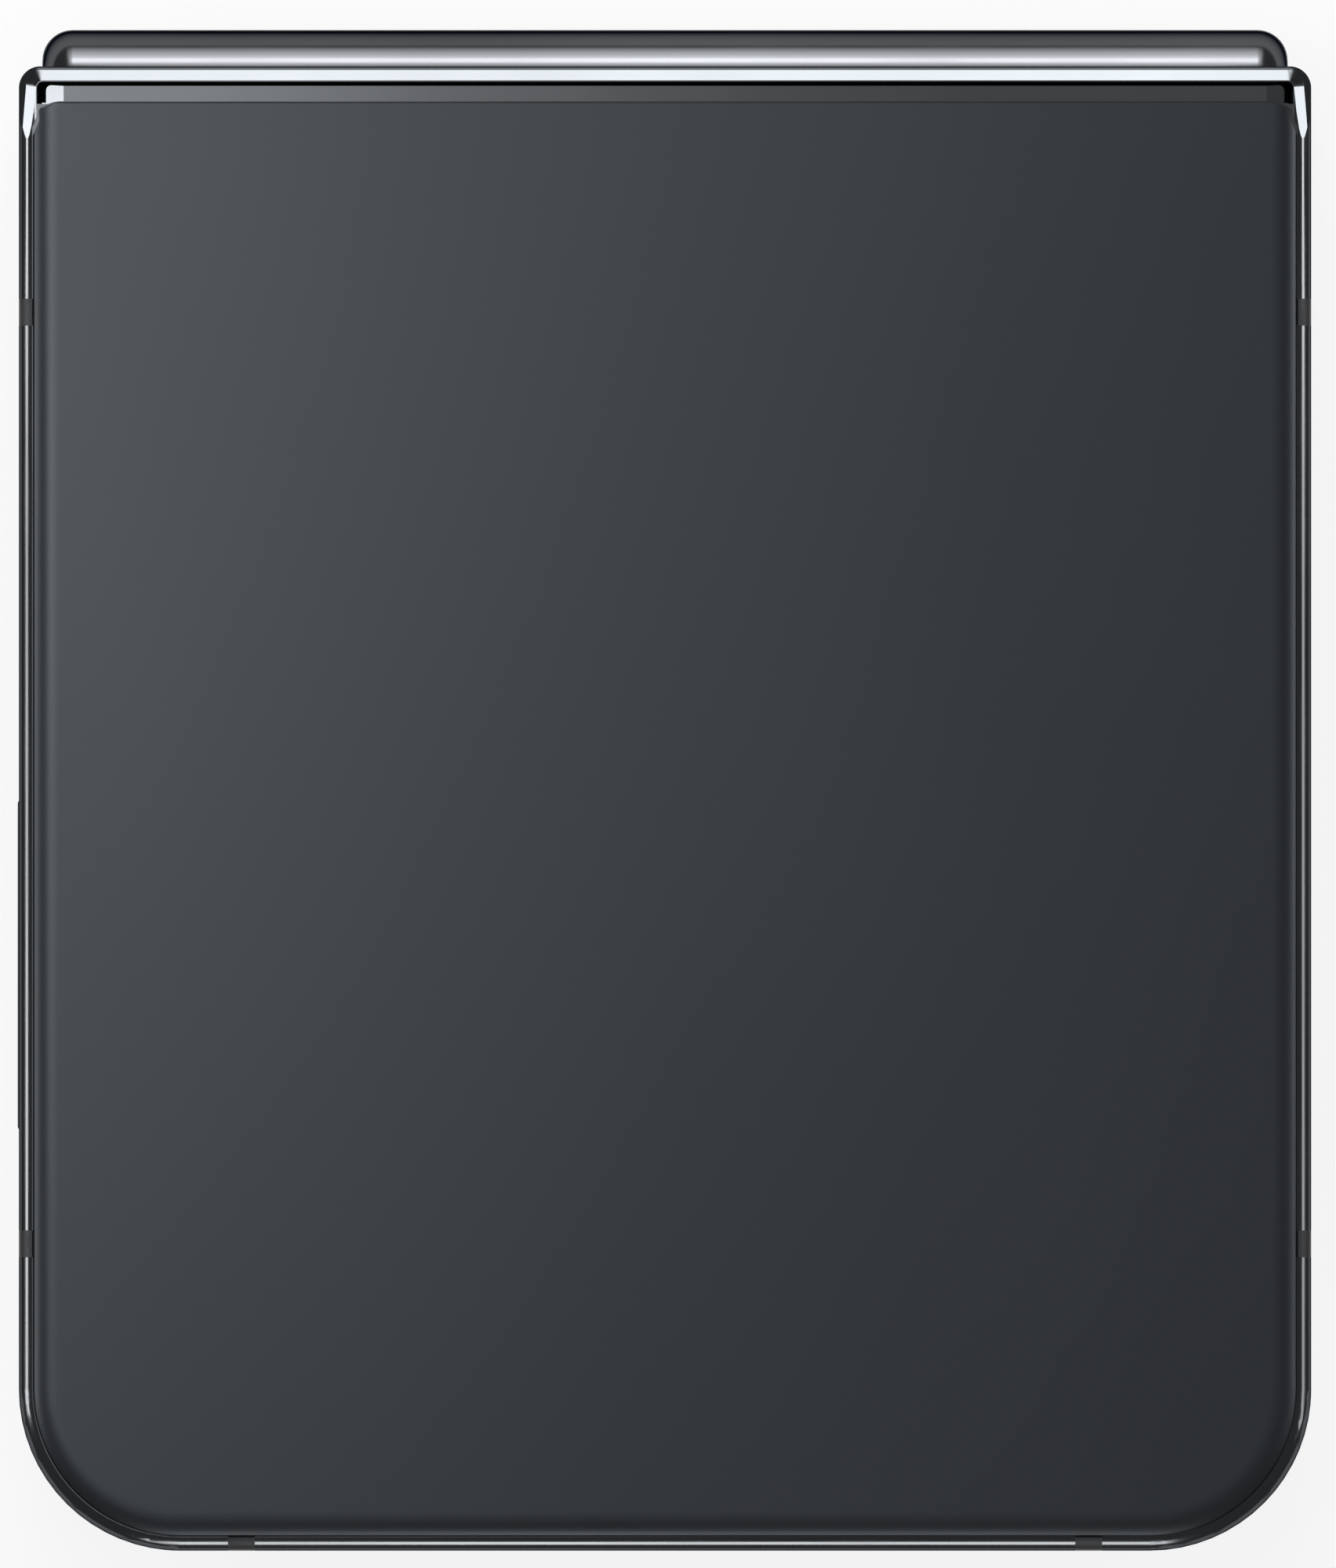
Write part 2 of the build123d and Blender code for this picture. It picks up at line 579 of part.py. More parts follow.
def flash_lens():
    return post(FLASH_X, CAMERA_Y, FLASH_RADIUS, (LEDGE_Z, LEDGE_Z + 0.7))


def selfie_camera():
    barrel = post(0, SELFIE_Y, SELFIE_RADIUS - 0.15, (MIDPLATE_Z - 0.6, DISPLAY_Z - 0.15))
    housing = block_at((0, SELFIE_Y, MIDPLATE_Z - 0.6 - SELFIE_HOUSING[2] / 2), SELFIE_HOUSING)
    return barrel + housing - post(0, SELFIE_Y, 0.6, (DISPLAY_Z - 0.5, DISPLAY_Z))


def earpiece():
    """Receiver with the riser that reaches its slot above the screen."""
    body = block_at((0, FAR_Y + 2.95, KEY_Z - 1.2), (12.0, 1.3, 2.4))
    riser_y = (FAR_Y + 2.4, FAR_Y + 2.9)
    return body + block((-5.9, 5.9), riser_y, (KEY_Z - 0.2, MIDPLATE_Z - 0.05))


# ---------------------------------------------------------------- boards and batteries
def main_board():
    """Board round the tray: across the free end and up to the battery."""
    z_range = (BOARD_Z, BOARD_Z + BOARD_THICKNESS)
    board = block(*BOARD_END, z_range) + block(*BOARD_WING, z_range)
    board -= block_at((28.0, TRAY_Y, KEY_Z), (22.0, 15.4, 3.2))
    return board - post(0, SELFIE_Y, 3.9, ANYWHERE_Z)


def shield_can(x_range, y_range):
    """Thin five-sided can, open towards the board."""
    bottom = BOARD_Z - SHIELD_HEIGHT
    inside = (widened(x_range, -SHIELD_WALL), widened(y_range, -SHIELD_WALL))
    return block(x_range, y_range, (bottom, BOARD_Z)) - block(*inside, (bottom + SHIELD_WALL, BOARD_Z + 1))


def board_shields():
    return group([shield_can(*plan) for plan in SHIELDS])


def battery(plan, bottom):
    pack = block(*plan, (bottom, MIDPLATE_Z - 0.15))
    return fillet(pack.edges().filter_by(Axis.Y), BATTERY_EDGE_ROUND)


def charging_coil():
    """Flat wound coil behind the back glass, its turns joined by a lead-out."""
    z_range = (LEDGE_Z + 0.05, LEDGE_Z + 0.05 + COIL_THICKNESS)
    last_radius = COIL_FIRST_RADIUS + COIL_PITCH * (COIL_TURNS - 1)
    lead_x = (COIL_FIRST_RADIUS - 0.6, last_radius - 0.1)
    coil = block(lead_x, (COIL_Y - 0.4, COIL_Y + 0.4), z_range)
    for turn in range(COIL_TURNS):
        outer = COIL_FIRST_RADIUS + COIL_PITCH * turn
        coil += post(0, COIL_Y, outer, z_range) - post(0, COIL_Y, outer - COIL_TRACK, ANYWHERE_Z)
    return to_base(coil)


def coil_shield():
    side, radius = COIL_SHIELD
    bottom = LEDGE_Z + 0.08 + COIL_THICKNESS
    return to_base(slab(Pos(0, COIL_Y) * RectangleRounded(side, side, radius), (bottom, bottom + 0.3)))


def sub_board():
    board = block(*SUB_BOARD, (SUB_BOARD_Z, SUB_BOARD_TOP_Z))
    return to_base(board - post(SUB_BOARD[0][0], SUB_BOARD[1][0], SUB_BOARD_CORNER, ANYWHERE_Z))


def usb_c_receptacle():
    """Steel shell with its centre tongue, opening at the free end."""
    mouth_y = FAR_Y + 0.35
    mouth_plane = Plane.XZ.offset(-mouth_y)
    outer = [size + 2 * USB_SHELL - 0.06 for size in USB_SIZE]
    shell = extrude(mouth_plane * (Pos(0, KEY_Z) * SlotOverall(*outer)), amount=-USB_DEPTH)
    shell -= extrude(mouth_plane * (Pos(0, KEY_Z) * SlotOverall(*USB_SIZE)), amount=-(USB_DEPTH - 0.8))
    tongue = block_at((0, mouth_y + 3.8, KEY_Z), USB_TONGUE)
    feet = block((-4.4, 4.4), (mouth_y + 4.25, mouth_y + 6.85), (KEY_Z + 1.4, KEY_Z + 1.75))
    return to_base(shell + tongue + feet)


def loudspeaker():
    box = block(*LOUDSPEAKER, (LEDGE_Z + 0.6, MIDPLATE_Z - 0.1))
    return to_base(box - post(LOUDSPEAKER[0][1], LOUDSPEAKER[1][0], LOUDSPEAKER_CORNER, ANYWHERE_Z))


def speaker_grille():
    x_range = widened((SPEAKER_SLOTS_X[0], SPEAKER_SLOTS_X[-1]), 0.9)
    return to_base(block(x_range, GRILLE_Y, GRILLE_Z))


def microphone():
    x_range = widened((MICROPHONE_X, MICROPHONE_X), 1.5)
    return to_base(block(x_range, MICROPHONE_Y, (SUB_BOARD_TOP_Z, KEY_Z + 0.8)))


def vibration_motor():
    motor = block(*VIBRATION_MOTOR, (SUB_BOARD_TOP_Z, MIDPLATE_Z - 0.3))
    return to_base(fillet(motor.edges().filter_by(Axis.Z), 0.6))


# ---------------------------------------------------------------- magnets and screws
def magnets():
    """Closing magnets under the midplate, one beside each long edge."""
    z = MIDPLATE_Z - 0.05 - MAGNET_SIZE[2] / 2
    return group([block_at((side * MAGNET_X, MAGNET_Y, z), MAGNET_SIZE) for side in (-1, 1)])


def hinge_screws():
    screws = []
    for x, y in rotator_fixings():
        screw = post(x, y, SCREW_HEAD_RADIUS, (TAIL_TOP_Z - 0.28, TAIL_TOP_Z - 0.02))
        screw += post(x, y, SCREW_SHANK_RADIUS, (SHELF_TOP_Z - 2.0, TAIL_TOP_Z - 0.2))
        for turn in (0, 90):
            screw -= Pos(x, y, TAIL_TOP_Z) * Rot(0, 0, turn) * Box(*SCREW_SLOT)
        screws.append(screw)
    return group(screws)


# ---------------------------------------------------------------- keys and tray
def volume_rocker():
    face_x = -HALF_WIDTH - ROCKER_PROUD
    inner_x = face_x + ROCKER_SIZE[0]
    cap = block_at(((face_x + inner_x) / 2, ROCKER_Y, KEY_Z), ROCKER_SIZE)
    cap = fillet(cap.edges().filter_by(Axis.X), 0.8)
    cap = fillet(cap.edges().filter_by_position(Axis.X, face_x - 0.01, face_x + 0.01), 0.15)
    for y in (ROCKER_Y - PLUNGER_Y, ROCKER_Y + PLUNGER_Y):
        cap += rod(y, KEY_Z, PLUNGER_RADIUS, (inner_x - 0.2, inner_x + 1.4))
    return cap


def side_key():
    face_x = -HALF_WIDTH + SIDE_KEY_SUNK
    inner_x = face_x + SIDE_KEY_SIZE[0]
    cap = block_at(((face_x + inner_x) / 2, SIDE_KEY_Y, KEY_Z), SIDE_KEY_SIZE)
    cap = fillet(cap.edges().filter_by(Axis.X), 1.3)
    cap = fillet(cap.edges().filter_by_position(Axis.X, face_x - 0.01, face_x + 0.01), 0.12)
    return cap + rod(SIDE_KEY_Y, KEY_Z, 0.8, (inner_x - 0.2, inner_x + 1.2))


def key_switches():
    """Dome switches on a stiffened strip behind the two keys."""
    strip_x = -HALF_WIDTH + SWITCH_STRIP[0]
    y_range = (ROCKER_Y - 9.0, SIDE_KEY_Y + 6.0)
    strip = block((strip_x, strip_x + SWITCH_STRIP[1]), y_range, widened((KEY_Z, KEY_Z), SWITCH_STRIP[2] / 2))
    for y in (ROCKER_Y - PLUNGER_Y, ROCKER_Y + PLUNGER_Y):
        strip += rod(y, KEY_Z, DOME_RADIUS, (strip_x - ROCKER_DOME_REACH, strip_x))
    return strip + rod(SIDE_KEY_Y, KEY_Z, DOME_RADIUS, (strip_x - SIDE_KEY_DOME_REACH, strip_x))


def sim_tray():
    face = block_at((HALF_WIDTH - TRAY_FACE[0] / 2 - TRAY_SUNK, TRAY_Y, KEY_Z), TRAY_FACE)
    face = fillet(face.edges().filter_by(Axis.X), 0.95)
    half = TRAY_SIZE[1] / 2
    tray_x = (TRAY_INNER_X, TRAY_INNER_X + TRAY_SIZE[0] + 0.2)
    tray = block(tray_x, (TRAY_Y - half, TRAY_Y + half), (KEY_Z - 0.6, KEY_Z - 0.6 + TRAY_SIZE[2]))
    card_x = (TRAY_INNER_X + 1.0, TRAY_INNER_X + 1.0 + CARD_SIZE[0])
    card_y = widened((TRAY_Y, TRAY_Y), CARD_SIZE[1] / 2)
    return face + tray - block(card_x, card_y, (KEY_Z - 0.25, KEY_Z + 1.0))


def sim_socket():
    """Card reader: a sheet-metal sleeve that the tray slides into."""
    half = TRAY_SIZE[1] / 2 + 0.6
    x_range = (TRAY_INNER_X - 1.0, HALF_WIDTH - WALL - 0.1)
    sleeve = block(x_range, (TRAY_Y - half, TRAY_Y + half), (KEY_Z - 1.0, KEY_Z + 0.9))
    room_half = half - 2 * SOCKET_WALL
    room_x = (TRAY_INNER_X - 0.6, HALF_WIDTH)
    room_z = (KEY_Z - 1.0 + SOCKET_WALL, KEY_Z + 0.9 - SOCKET_WALL)
    return sleeve - block(room_x, (TRAY_Y - room_half, TRAY_Y + room_half), room_z)


# ---------------------------------------------------------------- hinge
def spine_section(radius):
    """Stadium round both fold axes, from the spine's open face outward."""
    stadium = Pos(AXIS_Y, MIDDLE_Z) * Rectangle(2 * radius, 2 * AXIS_OFFSET)
    for z in (AXIS_Z, MIDDLE_Z + AXIS_OFFSET):
        stadium += Pos(AXIS_Y, z) * Circle(radius)
    reach = 2 * SPINE_RADIUS
    keep = Pos(SPINE_FACE_Y + reach / 2, MIDDLE_Z) * Rectangle(reach, 4 * reach)
    return stadium & keep


def face_notch(x_range):
    """Notch in the cover half's edge of the spine's open face."""
    y_range = (SPINE_FACE_Y - 1, SPINE_FACE_Y + NOTCH_DEPTH)
    return block(widened(x_range, NOTCH_SIDE), y_range, (AXIS_Z - 4, AXIS_Z))


def spine_housing():
    half = SPINE_WIDTH / 2
    housing = bar(spine_section(SPINE_RADIUS), (-half, half))
    ends = housing.faces().filter_by(Axis.X)
    rim = [edge for face in ends for edge in face.edges() if edge.center().Y > SPINE_FACE_Y + 0.1]
    housing = fillet(rim, SPINE_END_ROUND)
    hollow = half - SPINE_END_WALL
    housing -= bar(spine_section(SPINE_INNER), (-hollow, hollow))
    notches = [face_notch(COVER_ROTATOR_X), face_notch(ARM_X)]
    notches += [to_base(face_notch(BASE_ROTATOR_X)), to_base(face_notch(ARM_X))]
    for notch in notches:
        for side in both_sides(notch):
            housing -= side
    return housing


def arm_pivot(lower):
    """Shaft centre of an arm as (y, z)."""
    offset = AXIS_OFFSET + ARM_PIVOT[1]
    return (AXIS_Y + ARM_PIVOT[0], MIDDLE_Z - offset if lower else MIDDLE_Z + offset)


def gear_module():
    """Tooth module at which arm, idler, idler, arm just reach across the spine."""
    arm, idler = ARM_TEETH / 2, IDLER_TEETH / 2
    span = AXIS_OFFSET + ARM_PIVOT[1]
    step = IDLER_SETBACK - ARM_PIVOT[0]
    a = (arm + idler) ** 2 - idler ** 2
    b = 2 * span * idler
    c = -(span ** 2 + step ** 2)
    return (-b + (b * b - 4 * a * c) ** 0.5) / (2 * a)


def arm_radius():
    return gear_module() * ARM_TEETH / 2


def idler_radius():
    return gear_module() * IDLER_TEETH / 2


def idler_centre(lower):
    return (IDLER_Y, MIDDLE_Z - idler_radius() if lower else MIDDLE_Z + idler_radius())


def gear(centre, teeth, pitch_radius, first_tooth, x_range):
    """Spur gear with straight tapered flanks; first_tooth is a tooth's angle in degrees."""
    step = 360 / teeth
    half_tooth = step * TOOTH_SHARE / 2
    tip, root = pitch_radius + ADDENDUM, pitch_radius - DEDENDUM
    corners = ((-TOOTH_FOOT, root), (-0.5, tip), (0.5, tip), (TOOTH_FOOT, root))
    points = []
    for index in range(teeth):
        for offset, radius in corners:
            angle = radians(first_tooth + index * step + offset * half_tooth)
            points.append((centre[0] + radius * cos(angle), centre[1] + radius * sin(angle)))
    return bar(make_face(Polyline(*points, close=True)), x_range)


def idler_first_tooth(lower):
    """The lower idler points a tooth at the upper one, which meets it with a gap."""
    return 90.0 if lower else -90.0 + 180 / IDLER_TEETH


def arm_first_tooth(lower):
    """Angle of an arm's tooth that meshes with the idler beside it."""
    pivot, idler = arm_pivot(lower), idler_centre(lower)
    line = degrees(atan2(pivot[1] - idler[1], pivot[0] - idler[0]))
    offset = (idler_first_tooth(lower) - line) % (360 / IDLER_TEETH)
    gap = line + 180 - offset * IDLER_TEETH / ARM_TEETH
    return gap + 180 / ARM_TEETH


def hinge_arm(lower):
    """Toothed hub, shaft and the flat tongue that slides in the half's pocket."""
    y, z = arm_pivot(lower)
    arm = gear((y, z), ARM_TEETH, arm_radius(), arm_first_tooth(lower), GEAR_X)
    arm += rod(y, z, SHAFT_RADIUS, SHAFT_X)
    arm += rod(y, z, TONGUE_OFFSETS[1], (GEAR_X[1] + 0.1, ARM_X[1]))
    arm += rod(y, z, arm_radius() - DEDENDUM, (GEAR_X[1] - 0.2, GEAR_X[1] + 0.2))
    towards = 1 if lower else -1
    heights = sorted(z + towards * offset for offset in TONGUE_OFFSETS)
    return arm + block(ARM_X, (y - TONGUE_LENGTH, y), heights)


def hinge_arms(lower):
    return group(both_sides(hinge_arm(lower)))


def idler_gears(lower):
    y, z = idler_centre(lower)
    wheel = gear((y, z), IDLER_TEETH, idler_radius(), idler_first_tooth(lower), GEAR_X)
    return group(both_sides(wheel + rod(y, z, SHAFT_RADIUS, IDLER_PIN_X)))


def screw_disc(x, radius, depth):
    """Disc let into the bracket's face."""
    face = Plane.XZ.offset(-(SPINE_FACE_Y + NOTCH_DEPTH))
    return extrude(face * (Pos(x, MIDDLE_Z) * Circle(radius)), amount=-depth)


def hinge_bracket():
    """Block in one side of the spine that carries the gear train and guides the rotators."""
    bracket = bar(spine_section(SPINE_INNER - 0.03), BRACKET_X)
    bracket -= block(BRACKET_X, (SPINE_FACE_Y - 1, SPINE_FACE_Y + NOTCH_DEPTH), (0, 2 * MIDDLE_Z))
    bracket -= block(GEAR_WINDOW_X, (AXIS_Y, AXIS_Y + GEAR_WINDOW_DEPTH), (0, 2 * MIDDLE_Z))
    for x_range in (WASHER_WINDOW_X, ARM_WINDOW_X):
        window = block(x_range, (AXIS_Y, AXIS_Y + 5), (0, MIDDLE_Z - BRACKET_CORE))
        bracket -= window + to_base(window)
    radii = (ROTATOR_RADII[0] - GROOVE_CLEARANCE, SPINE_RADIUS)
    groove = annulus_sector(radii, GROOVE_ANGLES, (AXIS_Y, AXIS_Z))
    bracket -= bar(groove, widened(COVER_ROTATOR_X, GROOVE_CLEARANCE))
    bracket -= to_base(bar(groove, widened(BASE_ROTATOR_X, GROOVE_CLEARANCE)))
    for lower in (True, False):
        bracket -= rod(*arm_pivot(lower), BORE_RADIUS, widened(SHAFT_X, 0.1))
        bracket -= rod(*idler_centre(lower), BORE_RADIUS, widened(IDLER_PIN_X, 0.1))
    for x in BRACKET_SCREW_X:
        bracket -= screw_disc(x, BRACKET_SCREW_RADIUS + SCREW_SEAT, BRACKET_SCREW_DEPTH + SCREW_SEAT)
    return bracket


def friction_washers():
    """Stacks of disc springs that load the arm shafts."""
    washers = []
    for lower in (True, False):
        for index in range(WASHER_COUNT):
            start = WASHER_WINDOW_X[0] + 0.08 + index * WASHER_PITCH
            disc = rod(*arm_pivot(lower), WASHER_RADIUS, (start, start + WASHER_THICKNESS))
            disc -= rod(*arm_pivot(lower), BORE_RADIUS, (start - 1, start + 1))
            washers += both_sides(disc)
    return group(washers)


def bracket_screws():
    """Screws that hold the brackets in the spine, driven from the fold side."""
    screws = []
    for x in BRACKET_SCREW_X:
        screws += both_sides(screw_disc(x, BRACKET_SCREW_RADIUS, BRACKET_SCREW_DEPTH))
    return group(screws)


def rotators(shift):
    """Both rotators of one half; the base half's rails run beside the cover half's."""
    rail = bar(annulus_sector(ROTATOR_RADII, ROTATOR_ANGLES, (AXIS_Y, AXIS_Z)), COVER_ROTATOR_X)
    tail_z = (TAIL_TOP_Z - TAIL_THICKNESS, TAIL_TOP_Z)
    rail += block(COVER_ROTATOR_X, (SHELF_FRONT_Y - 0.2, AXIS_Y - 1.55), tail_z)
    base_y = (SHELF_FRONT_Y - 5.0, SHELF_FRONT_Y - 0.15)
    rotator = Pos(shift, 0, 0) * rail + block(ROTATOR_BASE_X, base_y, (SHELF_TOP_Z, TAIL_TOP_Z))
    for x in ROTATOR_SCREW_X:
        seat = post(x, ROTATOR_SCREW_Y, SCREW_HEAD_RADIUS + SCREW_SEAT, (TAIL_TOP_Z - 0.3, TAIL_TOP_Z + 1))
        hole = post(x, ROTATOR_SCREW_Y, SCREW_SHANK_RADIUS + SCREW_SEAT, (0, TAIL_TOP_Z + 1))
        rotator -= seat + hole
    return group(both_sides(rotator))


def fold_caps():
    """Soft caps that close the two ends of the fold."""
    cap = block(FOLD_CAP_X, (AXIS_Y - 0.5, SPINE_FACE_Y), widened((MIDDLE_Z, MIDDLE_Z), 1.3))
    cap = fillet(cap.edges().filter_by_position(Axis.Y, AXIS_Y - 0.51, AXIS_Y - 0.49), 0.4)
    return group(both_sides(cap))


def hinge_flex_cable():
    """Flat cable that crosses the hinge in a slack loop inside the spine."""
    centre_y = AXIS_Y + 0.5
    start = SHELF_FRONT_Y + 0.2
    inner_radius = FLEX_LOOP_RADIUS - FLEX_THICKNESS
    loop = Pos(centre_y, MIDDLE_Z) * (Circle(FLEX_LOOP_RADIUS) - Circle(inner_radius))
    section = loop & (Pos(centre_y + 5, MIDDLE_Z) * Rectangle(10, 10))
    offset = FLEX_LOOP_RADIUS - FLEX_THICKNESS / 2
    for z in (MIDDLE_Z - offset, MIDDLE_Z + offset):
        section += Pos((start + centre_y) / 2, z) * Rectangle(centre_y - start, FLEX_THICKNESS)
    return bar(section, (-FLEX_WIDTH / 2, FLEX_WIDTH / 2))


# ---------------------------------------------------------------- all nodes
def cover_half():
    return {
        "cover_frame": cover_frame(),
        "cover_glass": cover_glass(),
        "cover_display": cover_display(),
        "camera_rings": camera_rings(),
        "camera_lens_covers": camera_lens_covers(),
        "camera_modules": camera_modules(),
        "flash_lens": flash_lens(),
        "selfie_camera": selfie_camera(),
        "earpiece": earpiece(),
        "main_board": main_board(),
        "board_shields": board_shields(),
        "upper_battery": battery(UPPER_BATTERY, LEDGE_Z + 1.0),
        "key_switches": key_switches(),
        "sim_socket": sim_socket(),
        "cover_bezel": bezel(),
        "cover_antenna_breaks": antenna_breaks(),
        "cover_rotators": rotators(0),
        "cover_hinge_screws": hinge_screws(),
        "cover_magnets": magnets(),
        "display_upper_section": display_upper_section(),
        "volume_rocker": volume_rocker(),
        "side_key": side_key(),
        "sim_tray": sim_tray(),
    }


def base_half():
    return {
        "base_frame": base_frame(),
        "back_glass": to_base(back_panel_glass()),
        "main_battery": to_base(battery(MAIN_BATTERY, LEDGE_Z + 0.75)),
        "charging_coil": charging_coil(),
        "coil_shield": coil_shield(),
        "sub_board": sub_board(),
        "usb_c_receptacle": usb_c_receptacle(),
        "loudspeaker": loudspeaker(),
        "speaker_grille": speaker_grille(),
        "microphone": microphone(),
        "vibration_motor": vibration_motor(),
        "base_bezel": to_base(bezel()),
        "base_antenna_breaks": to_base(antenna_breaks()),
        "base_rotators": to_base(rotators(BASE_ROTATOR_X[0] - COVER_ROTATOR_X[0])),
        "base_hinge_screws": to_base(hinge_screws()),
        "base_magnets": to_base(magnets()),
        "display_lower_section": to_base(display_section()),
    }


def spine_and_gears():
    bracket = hinge_bracket()
    return {
        "spine_housing": spine_housing(),
        "hinge_bracket_right": bracket,
        "hinge_bracket_left": mirror(bracket, about=Plane.YZ),
        "friction_washers": friction_washers(),
        "bracket_screws": bracket_screws(),
        "fold_caps": fold_caps(),
        "display_fold_section": display_fold_section(),
        "hinge_flex_cable": hinge_flex_cable(),
        "cover_arms": hinge_arms(True),
        "base_arms": hinge_arms(False),
        "idler_gears_a": idler_gears(True),
        "idler_gears_b": idler_gears(False),
    }


os.makedirs("parts", exist_ok=True)
for pieces in (cover_half(), base_half(), spine_and_gears()):
    for name, piece in pieces.items():
        export_step(piece, f"parts/{name}.step")
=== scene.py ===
"""Looks for a closed folding phone: satin back glass, polished dark frame, folding screen, studio light."""
import json
import math

import bmesh
import bpy
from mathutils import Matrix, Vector


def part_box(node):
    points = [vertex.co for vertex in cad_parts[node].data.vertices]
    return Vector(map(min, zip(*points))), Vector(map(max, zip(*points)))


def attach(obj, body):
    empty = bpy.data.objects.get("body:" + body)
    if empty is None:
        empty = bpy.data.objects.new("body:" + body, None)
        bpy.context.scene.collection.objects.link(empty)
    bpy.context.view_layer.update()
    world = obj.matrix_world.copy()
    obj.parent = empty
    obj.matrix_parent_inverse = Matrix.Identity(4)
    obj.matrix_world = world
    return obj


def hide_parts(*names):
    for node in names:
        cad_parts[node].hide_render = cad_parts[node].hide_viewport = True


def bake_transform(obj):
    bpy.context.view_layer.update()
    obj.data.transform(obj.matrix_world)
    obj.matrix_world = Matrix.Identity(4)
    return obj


MM = 0.001

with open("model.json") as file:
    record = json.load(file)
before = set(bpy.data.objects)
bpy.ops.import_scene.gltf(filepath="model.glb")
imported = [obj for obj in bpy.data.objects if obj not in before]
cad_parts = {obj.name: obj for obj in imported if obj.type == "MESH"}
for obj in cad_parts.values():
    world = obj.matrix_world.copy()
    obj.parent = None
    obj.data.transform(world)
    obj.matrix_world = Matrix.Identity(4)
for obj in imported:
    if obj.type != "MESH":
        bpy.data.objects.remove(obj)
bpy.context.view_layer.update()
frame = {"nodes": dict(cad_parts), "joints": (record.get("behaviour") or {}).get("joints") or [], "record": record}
nodes = frame["nodes"]
joints = {joint["name"]: joint for joint in frame["joints"]}

# ---------------------------------------------------------------- places read from the frame, in millimetres
GLASS_LOW, GLASS_HIGH = (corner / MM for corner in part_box("back_glass"))
FRAME_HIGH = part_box("base_frame")[1] / MM
SCREEN_LOW, SCREEN_HIGH = (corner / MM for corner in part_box("display_upper_section"))
FOLD_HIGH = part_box("display_fold_section")[1] / MM
CABLE_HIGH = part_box("hinge_flex_cable")[1] / MM
COVER_AXIS = Vector(joints["cover_fold"]["pos_m"]) / MM
BASE_AXIS = Vector(joints["base_fold"]["pos_m"]) / MM
MIDDLE_Z = (COVER_AXIS.z + BASE_AXIS.z) / 2
AXIS_TO_MIDDLE = MIDDLE_Z - COVER_AXIS.z

# ---------------------------------------------------------------- camera
PHOTO_WIDTH, PHOTO_HEIGHT = 1704, 2000
PIXELS_PER_METRE = 22900
PHONE_CENTRE_PIXEL = (848.2, 1007.25)
CAMERA_DISTANCE = 3.2
CAMERA_CLIP = (0.1, 100)
SENSOR = 36.0


def add_camera():
    """Looks straight down on the back glass through a very long lens."""
    data = bpy.data.cameras.new("camera")
    data.sensor_width = SENSOR
    data.lens = SENSOR * CAMERA_DISTANCE * PIXELS_PER_METRE / PHOTO_HEIGHT
    data.clip_start, data.clip_end = CAMERA_CLIP
    camera = bpy.data.objects.new("camera", data)
    x = (PHOTO_WIDTH / 2 - PHONE_CENTRE_PIXEL[0]) / PIXELS_PER_METRE
    y = (PHONE_CENTRE_PIXEL[1] - PHOTO_HEIGHT / 2) / PIXELS_PER_METRE
    camera.location = (x, y, GLASS_HIGH.z * MM + CAMERA_DISTANCE)
    bpy.context.scene.collection.objects.link(camera)
    bpy.context.scene.camera = camera


# ---------------------------------------------------------------- light and floor
WORLD_GREY = 0.205
FLOOR_WHITE = 0.86
FLOOR_GLOW = 0.85           # share of plain white in the floor for the rays that look at it
LOOKING_RAYS = ("Is Camera Ray", "Is Glossy Ray", "Is Transmission Ray")
FLOOR_HALF_SIZE = 20.0

# stops of a soft box: a place from 0 to 1, and the share of the radiance there
EVEN = ((0.0, 1.0), (1.0, 1.0))
SOFT_ENDS = ((0.0, 0.0), (0.3, 1.0), (0.7, 1.0), (1.0, 0.0))
FALLING = ((0.05, 0.08), (0.15, 0.26), (0.3, 0.36), (0.5, 0.58), (0.7, 0.76), (1.0, 1.0))
DIM_ABOVE = ((0.0, 1.0), (0.58, 1.0), (0.72, 0.22), (1.0, 0.22))
LEFT_ALONG = ((0.32, 1.0), (0.36, 0.37), (0.42, 0.29), (0.55, 0.6), (1.0, 0.68))
RIGHT_ALONG = ((0.0, 0.33), (0.64, 0.33), (0.68, 1.0), (1.0, 1.0))
KEY_ACROSS = ((0.306, 1.0), (0.378, 0.95), (0.439, 0.72), (0.494, 0.4), (0.556, 0.24), (0.611, 0.16),
              (0.694, 0.12), (0.86, 0.12), (1.0, 0.32))
KEY_ALONG = ((0.0, 0.12), (0.25, 0.38), (0.4, 0.6), (0.54, 0.84), (0.75, 1.0))

# name: centre, size, radiance, stops from left to right, stops from the free end to the hinge
OVERHEADS = {
    "key": ((-0.010, 0.030, 0.27), (0.18, 0.28), 3.23, KEY_ACROSS, KEY_ALONG),
    "left_bar": ((-0.085, 0.045, 0.262), (0.02, 0.13), 9.8, EVEN, EVEN),
}

# name: side of the phone, zenith angles in degrees, distance, length, radiance,
# stops from right to left as seen from the phone, stops from the low to the high edge
STRIPS = {
    "hinge_strip": ((0, 1), (40.4, 57.6), 0.60, 0.40, 10.5, SOFT_ENDS, DIM_ABOVE),
    "hinge_low_strip": ((0, 1), (57.6, 86.4), 0.50, 0.40, 5.8, SOFT_ENDS, FALLING),
    "left_strip": ((-1, 0), (46, 54), 0.40, 0.20, 12.3, LEFT_ALONG, EVEN),
    "right_strip": ((1, 0), (46, 54), 0.40, 0.20, 12.3, RIGHT_ALONG, EVEN),
    "free_end_strip": ((0, -1), (48, 56), 0.40, 0.20, 8.1, SOFT_ENDS, EVEN),
}


